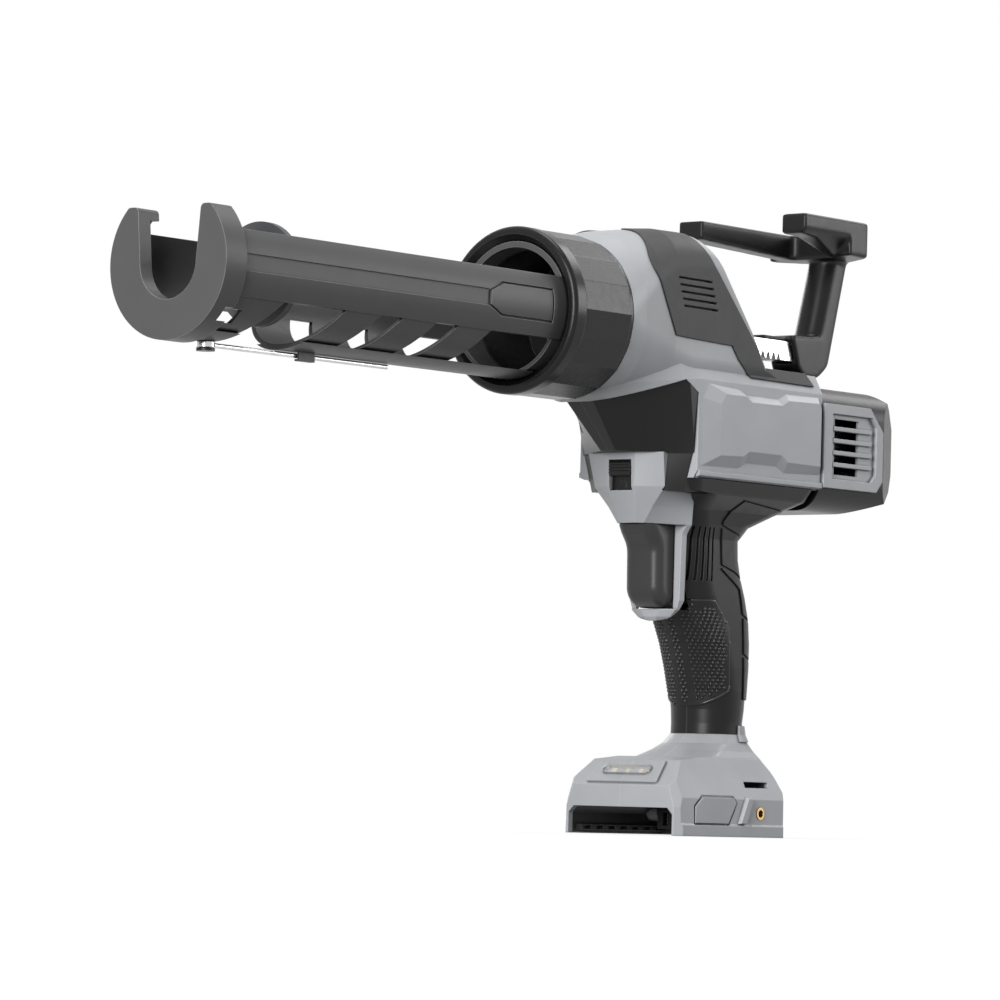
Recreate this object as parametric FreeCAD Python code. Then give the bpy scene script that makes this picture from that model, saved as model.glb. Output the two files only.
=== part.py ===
import FreeCAD, Part
import math
import os

# Cordless caulking tool, in millimetres.
# The origin is on the ground under the middle of the foot, +Z is up, the nose
# points along -X and the left side of the tool is -Y.

os.makedirs("parts", exist_ok=True)
V = FreeCAD.Vector

# Driving dimensions: gaps and walls
RUN_GAP = 0.3            # between bodies that move past each other
SHAFT_GAP = 0.05         # radial, in bearings
WALL = 2.5               # moulded housing wall
COVER_PROUD = 0.6        # how far the dark covers stand proud of the housing
COVER_DEEP = 1.9         # how far they sit in it

# Driving dimensions: main places
AXIS_Z = 213.6           # barrel axis above the ground
BODY_FRONT = -80.4       # front face of the grey housing
MOTOR_Z = 171.5          # motor axis above the ground
SEAM_X = 57.0            # seam between the gear housing and the motor cap
BODY_FLOOR = 150.0       # lower edge of the grey housing

# Driving dimensions: cartridge cradle, along the barrel from the nose face
CRADLE_SHOWN = 206.3     # nose face to the front of the collar
CRADLE_R = 28.5
CRADLE_WALL = 2.5
NOSE_R = 30.0
NOSE_T = 11.6
NOSE_PLATE = 6.6         # thickness of the nose behind its face; the rest is a rim
HOOK_LOW = 17.2          # the jaws keep their full depth above this height over the axis
SLOT_HALF = 14.4         # half width of the nozzle slot at the axis
SLOT_FLARE = 3.4         # how much wider each side is, 40 mm above the axis
JAW_TOP = 21.5           # jaw tips above the axis
RAIL_TOP = 12.8          # side rails reach this far above and below the axis
SKIRT_END = 40.3         # rear edge of the nose skirt at the rail
BAND_FIRST = 76.1        # front edge of the first band at the rail
BAND_WIDE = 20.7
BAND_PITCH = 34.2
BAND_COUNT = 3
KEEL_DROP = 25.6         # the keel starts this far below the axis
BAND_RAKE = 0.8          # bands lean forward by this much per mm of drop
GROOVE_HALF = 3.3        # shallow groove along each rail
GROOVE_DEEP = 1.0
BAND_STEP = 0.9          # the rails stand this far proud of the bands
PLATE_LONG = 41.0        # bare raised plate at the rear of each rail
PLATE_HALF = 7.0
PLATE_GAP = 0.9          # groove round the plate

# Driving dimensions: collar nut and flange
COLLAR_LONG = 39.8
COLLAR_R = 34.7
COLLAR_GRIP_R = 33.9
COLLAR_FLUTES = 18
COLLAR_LIP = 8.2         # plain band at the front
FLANGE_R = 30.0          # threaded spigot that the collar runs on
FLANGE_BORE = 25.6
FLANGE_PLATE = 4.0
RIM_R = 30.7             # rim at the cradle's rear end, held by the collar
RIM_T = 3.6

# Driving dimensions: rack, piston and pinion
MODULE = 1.25
PINION_TEETH = 16
RACK_HALF = 5.0
RACK_TOP = 2.6           # top of the rack above the axis
RACK_TALL = 8.4
RACK_ADDENDUM = 1.1
RACK_DEDENDUM = 1.6
BACKLASH = 0.25
PISTON_R = 20.5
PISTON_T = 8.0
PISTON_REST = 56.0       # rear face of the piston behind the nose face, rod fully forward
STUD_R = 2.2
RACK_REAR = 88.0         # rear end of the rack, inside the pull handle
PINION_R_SHAFT = 4.0
BEARING_R = 7.0
BEARING_T = 6.0
CASE_HALF = 17.0         # gear case half width

# Driving dimensions: motor
MOTOR_R = 21.0
MOTOR_FRONT = 20.0
MOTOR_LONG = 66.0
ROTOR_R = 2.5
FAN_R = 20.0
FAN_T = 8.0
CAP_REAR = 124.0
CAP_HALF = 31.0
CAP_TOP = 195.7
CAP_FLOOR = 141.6
VENT_COUNT = 5
VENT_PITCH = 5.2

# Driving dimensions: trigger and lock
TRIGGER_HALF = 9.6
TRIGGER_TRAVEL = 7.0
TRIGGER_TOP = 130.7
TRIGGER_LOW = 95.8
LOCK_TRAVEL = 6.0
LOCK_HALF = 5.6
LOCK_TALL = 6.4
LOCK_TOP = 157.0
BEZEL_FRONT = -43.6
BEZEL_TOP = 160.4

# Driving dimensions: foot
FOOT_FRONT = -38.0
FOOT_REAR = 41.0
FOOT_HALF = 31.2
FOOT_SHOULDER = 33.2     # top of the foot, where the neck starts
NECK_TOP = 43.5
BAY_HALF = 27.5
BAY_TALL = 11.6
BAY_REAR = 27.0
BAY_ROOF = 2.8
BAY_FRAME = 3.0          # thickness of the grey frame round the bay
TRAY_T = 1.4             # wall of the black tray that lines the bay
INSERT_R = 2.6           # brass inserts in the foot's sides
INSERT_HOLE_R = 1.65
INSERT_DEEP = 8.0
INSERT_X = 20.0
INSERT_Z = 10.0

# Driving dimensions: pull handle
GRIP_Z = 256.0           # underside of the fork
GRIP_HALF = 25.0         # half width of the fork
ARM_WIDE = 13.0
POST_HALF = 7.5

# Driving dimensions: puncture wire
WIRE_R = 1.0
WIRE_LONG = 107.0
RIVET_AT = 22.7          # rivet, behind the nose face

# Driving dimensions: screws
SCREW_R = 1.5
SCREW_HEAD_R = 3.2
SCREW_HEAD_T = 2.2
BOSS_R = 4.4


# Plain shapes

def box(x0, x1, y0, y1, z0, z1):
    return Part.makeBox(x1 - x0, y1 - y0, z1 - z0, V(x0, y0, z0))


def rod_x(radius, x0, x1, y, z):
    return Part.makeCylinder(radius, x1 - x0, V(x0, y, z), V(1, 0, 0))


def rod_y(radius, y0, y1, x, z):
    return Part.makeCylinder(radius, y1 - y0, V(x, y0, z), V(0, 1, 0))


def rod_z(radius, z0, z1, x, y):
    return Part.makeCylinder(radius, z1 - z0, V(x, y, z0), V(0, 0, 1))


def outline(points, place):
    """A closed wire through (a, b) or (a, b, radius) points, corners rounded by tangent arcs."""
    count = len(points)
    starts = []
    edges = []
    for i in range(count):
        here = V(points[i][0], points[i][1], 0)
        radius = points[i][2] if len(points[i]) > 2 else 0
        back = V(points[i - 1][0], points[i - 1][1], 0) - here
        ahead = V(points[(i + 1) % count][0], points[(i + 1) % count][1], 0) - here
        if radius == 0:
            starts.append((here, here, None))
            continue
        back.normalize()
        ahead.normalize()
        half = back.getAngle(ahead) / 2
        reach = radius / math.tan(half)
        bisector = back + ahead
        bisector.normalize()
        middle = here + bisector * (radius / math.sin(half) - radius)
        starts.append((here + back * reach, here + ahead * reach, middle))
    for i in range(count):
        enter, leave, middle = starts[i]
        if middle is not None:
            arc = Part.Arc(place(enter.x, enter.y), place(middle.x, middle.y), place(leave.x, leave.y))
            edges.append(arc.toShape())
        nxt = starts[(i + 1) % count][0]
        if (nxt - leave).Length > 1e-6:
            edges.append(Part.makeLine(place(leave.x, leave.y), place(nxt.x, nxt.y)))
    return Part.Wire(edges)


def prism_xz(points, y0, y1):
    wire = outline(points, lambda x, z: V(x, y0, z))
    return Part.Face(wire).extrude(V(0, y1 - y0, 0))


def prism_yz(points, x0, x1):
    wire = outline(points, lambda y, z: V(x0, y, z))
    return Part.Face(wire).extrude(V(x1 - x0, 0, 0))


def prism_xy(points, z0, z1):
    wire = outline(points, lambda x, y: V(x, y, z0))
    return Part.Face(wire).extrude(V(0, 0, z1 - z0))


def spun(points, z):
    """Turn (x, radius) points about the X axis at height z."""
    wire = outline(points, lambda x, r: V(x, 0, z + r))
    return Part.Face(wire).revolve(V(0, 0, z), V(1, 0, 0), 360)


def loft(wires):
    return Part.makeLoft(wires, True, True)


def both_sides(points):
    """Mirror a half outline of (x, y) points about y = 0 and close it."""
    return list(points) + [(p[0], -p[1]) for p in reversed(points)]


def mirrored(shape):
    return shape.mirror(V(0, 0, 0), V(0, 1, 0))


def fused(shapes):
    whole = shapes[0]
    for other in shapes[1:]:
        whole = whole.fuse(other)
    return whole.removeSplitter()


def left_half(shape):
    return shape.common(box(-600, 600, -200, 0, -50, 500))


def right_half(shape):
    return shape.common(box(-600, 600, 0, 200, -50, 500))


NODES = {}


def keep(name, shape):
    """Write one node: each of its solids cleaned, and the file named for the piece."""
    solids = [s for s in shape.Solids if s.Volume > 0.5]
    piece = solids[0] if len(solids) == 1 else Part.makeCompound(solids)
    NODES[name] = piece
    piece.exportStep("parts/" + name + ".step")
    print("%-22s solids %d volume %9.1f valid %s" % (name, len(solids), piece.Volume, piece.isValid()))


# Gear housing form

def upper_section(x, half, low, high, round_top, round_low, grow):
    points = [(-half - grow, low - grow, round_low), (half + grow, low - grow, round_low),
              (half + grow, high + grow, round_top), (-half - grow, high + grow, round_top)]
    return outline(points, lambda y, z: V(x, y, z))


FRONT_R = COLLAR_GRIP_R - RUN_GAP
ROOF_Z = AXIS_Z + 39.8
SIDE_HALF = 29.6         # half width of the gear housing's flat sides


def upper_form(grow, x_front, x_rear):
    """The gear housing: a round nose that swells into a flat-sided, arched body."""
    ring = (FRONT_R, AXIS_Z - FRONT_R, AXIS_Z + FRONT_R, FRONT_R - 0.1 + grow, FRONT_R - 0.1 + grow)
    stations = [
        (x_front,) + ring,
        (-71.0, 33.0, AXIS_Z - 33.2, AXIS_Z + 36.8, 30.0 + grow, 30.0 + grow),
        (-60.0, 31.6, AXIS_Z - 32.0, AXIS_Z + 38.8, 24.0 + grow, 26.0 + grow),
        (-47.0, SIDE_HALF + 0.4, AXIS_Z - 30.0, ROOF_Z, 17.0 + grow, 20.0 + grow),
        (-34.0, SIDE_HALF, AXIS_Z - 28.0, ROOF_Z, 15.0 + grow, 15.0 + grow),
        (x_rear, SIDE_HALF, AXIS_Z - 28.0, ROOF_Z, 15.0 + grow, 15.0 + grow),
    ]
    return loft([upper_section(s[0], s[1], s[2], s[3], s[4], s[5], grow) for s in stations])


SHELF_Z = 199.5          # flat top of the motor body, under the rack
FLANK_HALF = 31.2        # half width of the motor body's flanks
FLANK_TOP = 191.5


def lower_section(x, points):
    return outline(points + [(-p[0], p[1]) for p in reversed(points)], lambda y, z: V(x, y, z))


def lower_form(grow, x_front):
    """The motor body: it grows out of the round nose into wide flanks with a sloping shoulder."""
    def full(x):
        return lower_section(x, [(27.0 + grow, SHELF_Z + grow), (FLANK_HALF + grow, FLANK_TOP),
                                 (FLANK_HALF + grow, BODY_FLOOR + 3.0), (FLANK_HALF - 2.0 + grow,
                                                                         BODY_FLOOR)])
    drop = [23.6, 28.6, 32.2, 33.3]
    first = [(math.sqrt(FRONT_R ** 2 - d ** 2) + grow, AXIS_Z - d) for d in drop]
    middle = [(28.4 + grow, SHELF_Z + grow), (30.8 + grow, FLANK_TOP - 1.0), (30.8 + grow, 178.0),
              (28.0 + grow, 172.0)]
    return loft([lower_section(x_front, first), lower_section(-42.0, middle), full(-31.5), full(SEAM_X)])


# The line where the grey housing ends over the dark chin and throat
CHIN_LINE = [(-95.0, 172.9), (-40.0, 190.7), (-31.5, 185.5), (-31.5, 120.0), (-95.0, 120.0)]
# The slope at the back of the gear housing, where the rack comes out
BACK_TOP = -26.0
BACK_LOW = 18.0


def back_form(inset):
    points = [(-120.0, 120.0), (-120.0, ROOF_Z + 10.0), (BACK_TOP - inset - 8.4, ROOF_Z + 10.0),
              (BACK_TOP - inset * 0.6, ROOF_Z - inset), (8.0 - inset * 1.3, AXIS_Z - 0.6),
              (BACK_LOW - inset * 1.1, SHELF_Z - 1.0), (BACK_LOW - inset * 1.1, 120.0)]
    points[3] = points[3] + (14.0,)
    points[4] = points[4] + (18.0,)
    return prism_xz(points, -60.0, 60.0)


upper_outer = upper_form(0.0, BODY_FRONT, 40.0).common(back_form(0.0))
lower_outer = lower_form(0.0, BODY_FRONT)
grey_outer = upper_outer.fuse(lower_outer).cut(prism_xz(CHIN_LINE, -60.0, 60.0))

FLANGE_FACE = BODY_FRONT + 4.0      # inside face of the housing's front wall
upper_inner = upper_form(-WALL, FLANGE_FACE, 40.0).common(back_form(WALL))
lower_inner = fused([
    prism_yz([(-27.0 + WALL, 120.0), (27.0 - WALL, 120.0), (27.0 - WALL, SHELF_Z - WALL),
              (-27.0 + WALL, SHELF_Z - WALL)], -31.5 + WALL, SEAM_X),
    box(-31.5 + WALL, SEAM_X, -FLANK_HALF + WALL, FLANK_HALF - WALL, 120.0, FLANK_TOP - WALL),
    box(-31.5, -31.5 + WALL, -CASE_HALF - RUN_GAP, CASE_HALF + RUN_GAP, MOTOR_Z - 0.5, FLANK_TOP + 2.0),
])
grey_shell = grey_outer.cut(upper_inner).cut(lower_inner)
grey_shell = grey_shell.cut(rod_x(FLANGE_R + 0.02, BODY_FRONT - 1.0, FLANGE_FACE + 1.0, 0.0, AXIS_Z))

# Raised flank panels: wide bevels, a stepped top edge and a stepped lower edge
PANEL_PROUD = 2.5
LIP_PROUD = 0.9
panel_base = [(-30.4, 184.0), (-25.8, 190.6), (-3.0, 189.4), (2.0, 187.4), (24.0, 187.4), (30.0, 190.0),
              (54.0, 190.4), (55.6, 187.6), (55.6, 156.0), (30.0, 155.0), (24.0, 157.4), (2.0, 157.4),
              (-3.0, 154.8), (-30.4, 154.4)]
panel_face = [(-18.6, 181.6), (-15.6, 186.2), (-1.4, 186.2), (2.8, 184.0), (24.6, 184.2), (29.0, 186.6),
              (51.6, 187.0), (53.2, 185.0), (53.2, 160.0), (29.0, 160.2), (25.0, 163.0), (2.0, 163.0),
              (-2.6, 160.6), (-18.6, 160.0)]
left_panel = loft([
    outline(panel_base, lambda x, z: V(x, -FLANK_HALF + 0.4, z)),
    outline(panel_face, lambda x, z: V(x, -FLANK_HALF - PANEL_PROUD, z)),
])
left_lip = prism_yz([(-FLANK_HALF + 1.0, BODY_FLOOR + 0.4), (-FLANK_HALF - LIP_PROUD, BODY_FLOOR + 1.0),
                     (-FLANK_HALF - LIP_PROUD, BODY_FLOOR + 2.8), (-FLANK_HALF + 1.0,
                                                                   BODY_FLOOR + 4.6)], -31.0, SEAM_X)
grey_shell = fused([grey_shell, left_panel, mirrored(left_panel), left_lip, mirrored(left_lip)])

# Dark covers: curved plates set into the upper sides, with a band along the rack's tray
COVER_EDGE = 9.0         # the covers stop this far from the middle of the roof
cover_line = [(-59.0, 262.0), (-59.0, 251.0), (-65.4, 237.4, 8.0), (-46.8, 208.4), (-7.2, 207.3),
              (-2.6, 201.8),
              (6.4, 195.0), (30.0, 195.0), (16.0, 199.0), (10.6, 207.6, 10.0), (-5.4, 224.1), (-21.4, 240.4,
                                                                                               12.0),
              (-29.0, 252.0), (-29.0, 262.0)]
band_line = [(6.4, 195.0), (52.0, 194.6), (48.0, 201.5), (6.4, 201.5)]
cover_ring = upper_form(COVER_PROUD, BODY_FRONT, 40.0).cut(upper_form(-COVER_DEEP, BODY_FRONT - 1.0, 41.0))
band_ring = lower_form(COVER_PROUD, BODY_FRONT).cut(lower_form(-COVER_DEEP, BODY_FRONT - 1.0))
left_cover = fused([
    cover_ring.common(prism_xz(cover_line, -60.0, -COVER_EDGE)),
    band_ring.common(prism_xz(band_line, -60.0, -20.0)),
])
grey_shell = grey_shell.cut(left_cover).cut(mirrored(left_cover))
SLIT_COUNT = 5
slits = []
for i in range(SLIT_COUNT):
    slit_x = -46.6 + 1.1 * i
    slit_z = 232.8 - 2.9 * i
    slits.append(box(slit_x, slit_x + 24.0, -60.0, -SIDE_HALF + COVER_DEEP - 0.6, slit_z - 0.5, slit_z + 0.5))
left_cover = left_cover.cut(Part.makeCompound(slits))

# Way through the sloping back for the rack
RACK_TIP_Z = AXIS_Z + RACK_TOP - RACK_TALL
rack_way = box(-30.0, 40.0, -RACK_HALF - 0.6, RACK_HALF + 0.6, RACK_TIP_Z - 0.6, AXIS_Z + RACK_TOP + 0.6)
grey_shell = grey_shell.cut(rack_way)


# Screws with their bosses: driven from the right side into the left half

def screw_at(x, z, seat_y, tip_y):
    head = rod_y(SCREW_HEAD_R, seat_y, seat_y + SCREW_HEAD_T, x, z)
    drive = rod_y(1.1, seat_y + SCREW_HEAD_T - 1.2, seat_y + SCREW_HEAD_T + 1.0, x, z)
    return head.fuse(rod_y(SCREW_R, tip_y, seat_y, x, z)).cut(drive).removeSplitter()


def screw_room(x, z, seat_y, tip_y):
    return rod_y(SCREW_R, tip_y - 0.5, seat_y + 1.0, x, z).fuse(rod_y(SCREW_HEAD_R + 0.3, seat_y, 60.0, x, z))


BODY_SCREWS = [(-63.0, 238.0, 17.0, -12.0), (-36.0, 243.5, 17.0, -12.0)]
HANDLE_SCREWS = [(-44.0, 172.0, 12.0, -10.0), (1.0, 135.6, 11.0, -10.0), (28.0, 54.0, 9.0, -9.0)]


def with_bosses(shell, outer, screws):
    for x, z, seat_y, tip_y in screws:
        boss = rod_y(BOSS_R, -50.0, 50.0, x, z).common(outer)
        shell = shell.fuse(boss)
    for x, z, seat_y, tip_y in screws:
        shell = shell.cut(screw_room(x, z, seat_y, tip_y))
    return shell


grey_bosses = upper_form(-COVER_DEEP - 0.1, BODY_FRONT + 2.0, 40.0).common(back_form(WALL / 2))
grey_shell = with_bosses(grey_shell, grey_bosses, BODY_SCREWS)
keep("left_housing", left_half(grey_shell))
keep("right_housing", right_half(grey_shell))
right_cover = mirrored(left_cover)
for x, z, seat_y, tip_y in BODY_SCREWS:
    right_cover = right_cover.cut(screw_room(x, z, seat_y, tip_y))
keep("left_cover", left_cover)
keep("right_cover", right_cover)


# Motor cap and vent panels

cap_side = [(SEAM_X, CAP_FLOOR), (86.0, CAP_FLOOR), (108.0, CAP_FLOOR + 5.6), (119.0, CAP_FLOOR + 11.6),
            (CAP_REAR, 161.0),
            (CAP_REAR, 181.0), (116.0, CAP_TOP - 6.4), (104.0, CAP_TOP), (SEAM_X, CAP_TOP)]
CAP_WALL = 2.6


def cap_form(inset):
    middle = V(80.0, 0, (CAP_TOP + CAP_FLOOR) / 2)
    side = []
    for x, z in cap_side:
        up = 1 if z > middle.z else -1
        side.append((x - inset if x > SEAM_X else x, z - up * inset if x < CAP_REAR else z))
    plan = [(SEAM_X, CAP_HALF - inset), (104.0 - inset, CAP_HALF - inset), (CAP_REAR - inset, 21.0 - inset)]
    half = CAP_HALF - inset
    low = CAP_FLOOR + inset
    high = CAP_TOP - inset
    corner = 13.0 - inset
    section = [(-half, low, corner), (half, low, corner), (half, high, corner), (-half, high, corner)]
    solid = prism_xz(side, -60.0, 60.0).common(prism_xy(both_sides(plan), 100.0, 240.0))
    return solid.common(prism_yz(section, SEAM_X, CAP_REAR + 5.0))


VENT_Y = CAP_HALF + 1.5  # outer face of the vent panels
VENT_T = 3.0
VENT_REAR = 101.5
vent_line = [(SEAM_X + 0.5, 151.5), (VENT_REAR - 4.5, 151.5), (VENT_REAR, 156.5), (VENT_REAR, 178.0),
             (VENT_REAR - 10.0, 188.0), (SEAM_X + 0.5, 188.0)]
VENT_LOW = MOTOR_Z - 2.0 - VENT_PITCH * (VENT_COUNT - 1) / 2
left_vent = prism_xz(vent_line, -VENT_Y, -VENT_Y + VENT_T)
VENT_TALL = 3.4          # height of each slot
VENT_FIELD = 1.7         # depth of the field behind the panel's face
VENT_TOP = VENT_LOW + VENT_PITCH * (VENT_COUNT - 1)
vent_field = prism_xz([(63.5, VENT_LOW - 3.6), (93.0, VENT_LOW - 3.6), (96.5, VENT_LOW), (96.5, VENT_TOP),
                       (93.0, VENT_TOP + 4.0), (63.5, VENT_TOP + 4.0)], -VENT_Y - 1.0, -VENT_Y + VENT_FIELD)
left_vent = left_vent.cut(vent_field)
vent_slots = []
vent_slats = []
for i in range(VENT_COUNT):
    slot_z = VENT_LOW + VENT_PITCH * i
    vent_slots.append(box(67.0, 85.0, -VENT_Y - 1.0, -VENT_Y + VENT_T + 1.0, slot_z - 1.5,
                          slot_z - 1.5 + VENT_TALL))
    vent_slats.append(box(64.5, 93.5, -VENT_Y + 0.4, -VENT_Y + VENT_FIELD + 0.5, slot_z - 1.5 + VENT_TALL,
                          slot_z - 1.5 + VENT_PITCH))
left_vent = fused([left_vent.cut(Part.makeCompound(vent_slots))] + vent_slats[:-1])
vent_window = box(68.0, 86.0, -CAP_HALF - 1.0, -CAP_HALF + 6.0, VENT_LOW - 2.5,
                  VENT_LOW + VENT_PITCH * (VENT_COUNT - 1) + 3.0)
vent_pocket = prism_xz(vent_line, -CAP_HALF - 5.0, -VENT_Y + VENT_T)
FAN_FRONT = MOTOR_FRONT + MOTOR_LONG + 4.0
BALL_T = 4.0
BALL_R = 6.5
BALL_FRONT = FAN_FRONT + FAN_T + 3.0
motor_cap = cap_form(0.0).cut(cap_form(CAP_WALL))
cap_boss = rod_x(BALL_R + 2.5, BALL_FRONT, CAP_REAR - 1.0, 0.0, MOTOR_Z).common(cap_form(0.5))
cap_boss = cap_boss.cut(rod_x(BALL_R, BALL_FRONT - 1.0, BALL_FRONT + BALL_T, 0.0, MOTOR_Z))
cap_boss = cap_boss.cut(rod_x(ROTOR_R + 1.0, BALL_FRONT, BALL_FRONT + BALL_T + 2.0, 0.0, MOTOR_Z))
motor_cap = fused([motor_cap, cap_boss])
for side in (vent_pocket, vent_window):
    motor_cap = motor_cap.cut(side).cut(mirrored(side))
keep("motor_cap", motor_cap)
keep("left_vent_panel", left_vent)
keep("right_vent_panel", mirrored(left_vent))


# Handle form, from the underside of the motor body down to the neck

# front, rear, half width and corner radius where the handle meets the foot
NECK_END = (6.8, 36.4, 15.2, 13.4)
GRIP_HALF_Y = 16.5
GRIP_CORNER = 15.8
handle_stations = [
    (BODY_FLOOR, -31.5, SEAM_X, 30.0, 6.0), (145.0, -30.0, SEAM_X, 27.0, 8.0), (144.2, -19.0, SEAM_X, 26.4,
                                                                                9.0),
    (138.0, -18.6, 46.0, 19.4, 12.0), (132.0, -17.6, 33.0, 17.2, 15.0), (126.0, -16.8, 27.4, GRIP_HALF_Y,
                                                                         GRIP_CORNER),
    (118.0, -16.4, 27.8, GRIP_HALF_Y, GRIP_CORNER), (110.0, -15.2, 30.0, GRIP_HALF_Y, GRIP_CORNER),
    (102.0, -12.2, 33.4, GRIP_HALF_Y, GRIP_CORNER), (92.0, -6.4, 36.4, GRIP_HALF_Y, GRIP_CORNER),
    (82.0, -1.2, 37.4, GRIP_HALF_Y, GRIP_CORNER), (72.0, 2.4, 37.4, GRIP_HALF_Y, GRIP_CORNER),
    (62.0, 5.2, 36.8, GRIP_HALF_Y - 0.2, GRIP_CORNER - 0.2), (54.0, 6.8, 35.8, 15.8, 14.2),
    (48.0, 7.0, 35.0, 15.3, 13.6), (NECK_TOP,) + NECK_END,
]


def handle_form(grow):
    wires = []
    for z, x0, x1, half, corner in handle_stations:
        points = [(x0 - grow, -half - grow, corner + grow), (x1 + grow, -half - grow, corner + grow),
                  (x1 + grow, half + grow, corner + grow), (x0 - grow, half + grow, corner + grow)]
        wires.append(outline(points, lambda x, y, z=z: V(x, y, z)))
    return loft(wires)


chin_low = [(-52.5, 3.9), (-31.5, 29.6), (-20.0, 29.6)]
chin_high = [(-85.3, 8.8), (-38.0, 31.2), (-20.0, 31.2)]
chin = loft([
    outline(both_sides(chin_low), lambda x, y: V(x, y, BEZEL_TOP)),
    outline(both_sides(chin_high), lambda x, y: V(x, y, 192.0)),
]).common(prism_xz(CHIN_LINE, -60.0, 60.0))
CHEEK_TOP = 144.5        # top edge of the bezel's side cheeks
throat_low = [(-36.4, 18.2), (-31.5, 24.6), (-14.0, 24.6)]
throat_high = [(-37.0, 19.6), (-31.5, 29.0), (-14.0, 29.0)]
throat = loft([
    outline(both_sides(throat_low), lambda x, y: V(x, y, CHEEK_TOP)),
    outline(both_sides(throat_high), lambda x, y: V(x, y, BEZEL_TOP)),
])
throat_cut = box(-31.5, 0.0, -60.0, 60.0, BODY_FLOOR, 200.0)
handle_outer = fused([handle_form(0.0), throat.cut(throat_cut), chin.cut(throat_cut)])

# Trigger bezel: a grey front plate with the lock's recess, side cheeks and a rim round the trigger
RIM_FRONT_X = -17.8      # front edge of the rim beside the trigger
bezel_levels = [
    (90.4, [(-19.4, 1.6), (-17.4, 5.0), (-12.0, 8.0)]),
    (92.2, [(-20.6, 3.2), (-18.0, 8.6), (-10.0, 11.4)]),
    (95.2, [(-20.8, 5.0), (-18.4, 11.6), (-9.0, 13.2)]),
    (99.0, [(-20.0, 6.0), (-18.4, 13.0), (-9.0, 13.8)]),
    (126.0, [(-20.0, 6.0), (-18.4, 13.4), (-9.0, 16.0)]),
    (131.0, [(-37.6, 4.0), (-35.8, 7.0), (-14.0, 18.0)]),
    (138.0, [(-40.4, 6.0), (-36.2, 11.8), (-14.0, 18.8)]),
    (146.0, [(BEZEL_FRONT, 7.5), (-37.0, 18.6), (-14.0, 19.6)]),
    (BEZEL_TOP, [(BEZEL_FRONT - 0.8, 8.0), (-40.3, 19.9), (-14.0, 20.4)]),
]
bezel_wires = []
for level, half_line in bezel_levels:
    bezel_wires.append(outline(both_sides(half_line), lambda x, y, level=level: V(x, y, level)))
bezel_line = [(-50.0, BEZEL_TOP), (-37.0, BEZEL_TOP), (-37.0, CHEEK_TOP), (-16.8, CHEEK_TOP), (-15.2, 126.0),
              (-14.6, 99.0, 6.0), (-18.0, 90.4, 3.0), (-30.0, 90.4), (-30.0, TRIGGER_LOW - RUN_GAP),
              (RIM_FRONT_X, TRIGGER_LOW - RUN_GAP), (RIM_FRONT_X, TRIGGER_TOP + RUN_GAP),
              (-50.0, TRIGGER_TOP + RUN_GAP)]
bezel_outer = loft(bezel_wires).common(prism_xz(bezel_line, -60.0, 60.0))
trigger_way = box(-50.0, -12.0 + TRIGGER_TRAVEL + RUN_GAP, -TRIGGER_HALF - RUN_GAP, TRIGGER_HALF + RUN_GAP,
                  TRIGGER_LOW - RUN_GAP, TRIGGER_TOP + RUN_GAP)
LOCK_FLOOR = BEZEL_FRONT + 2.2
lock_way = box(BEZEL_FRONT - 2.0, LOCK_FLOOR, -LOCK_HALF - RUN_GAP, LOCK_HALF + RUN_GAP,
               LOCK_TOP - LOCK_TALL - LOCK_TRAVEL - RUN_GAP, LOCK_TOP + RUN_GAP)
bezel = bezel_outer.cut(trigger_way).cut(lock_way)
keep("trigger_bezel", bezel)

# Grip sleeve: a soft textured wrap round the front of the handle
GRIP_PROUD = 0.5
GRIP_DEEP = 1.3
grip_line = [(-40.0, 55.3), (6.2, 55.3), (15.3, 62.6), (12.8, 88.6), (2.8, 99.8), (-9.0, 99.8),
             (-17.0, 90.4), (-40.0, 90.4)]
grip = handle_form(GRIP_PROUD).cut(handle_form(-GRIP_DEEP)).common(prism_xz(grip_line, -60.0, 60.0))
grip = grip.cut(bezel_outer).cut(trigger_way)
keep("grip_sleeve", grip)

# Back pad: a soft strip round the rear of the handle, in blocks with slanted grooves between them
PAD_PROUD = 0.7
PAD_DEEP = 1.0
PAD_LOW = 58.5
pad_line = [(11.0, 142.5), (5.4, 134.0), (7.0, 113.4), (20.6, 105.4), (23.2, 93.5), (25.4, PAD_LOW),
            (60.0, PAD_LOW), (60.0, 138.5)]
pad = handle_form(PAD_PROUD).cut(handle_form(-PAD_DEEP)).common(prism_xz(pad_line, -60.0, 60.0))
pad_grooves = []
for level in (93.0, 76.5, 125.5, 109.0):
    pad_grooves.append(prism_xz([(0.0, level + 7.0), (0.0, level + 8.4), (60.0, level - 8.6),
                                 (60.0, level - 10.0)], -60.0, 60.0))
pad = pad.cut(Part.makeCompound(pad_grooves).cut(handle_form(-PAD_DEEP + 0.4)))
keep("back_pad", pad)

# Handle shells: hollow halves with room for the motor, the trigger and the switch
handle_inner = handle_form(-WALL).common(box(-60.0, 100.0, -40.0, 40.0, NECK_TOP + 1.0, BODY_FLOOR - 9.0))
handle_shell = handle_outer.cut(handle_inner).cut(bezel_outer).cut(grip).cut(pad).cut(trigger_way)
handle_shell = handle_shell.cut(rod_x(MOTOR_R + 1.6, -31.5 + WALL, SEAM_X + 1.0, 0.0, MOTOR_Z))
neck_way = rod_z(9.0, NECK_TOP - 3.0, NECK_TOP + 3.0, 21.0, 0.0)
handle_shell = handle_shell.cut(neck_way)
RIB_COUNT = 5
ribs = []
for i in range(RIB_COUNT):
    rib_x = -11.4 + 2.8 * i
    ribs.append(box(rib_x, rib_x + 1.2, -30.0, 0.0, 108.0, 131.0))
side_ribs = Part.makeCompound(ribs).cut(handle_form(-1.1))
handle_shell = handle_shell.cut(side_ribs).cut(mirrored(side_ribs))
SWITCH_HALF = 9.0
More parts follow.
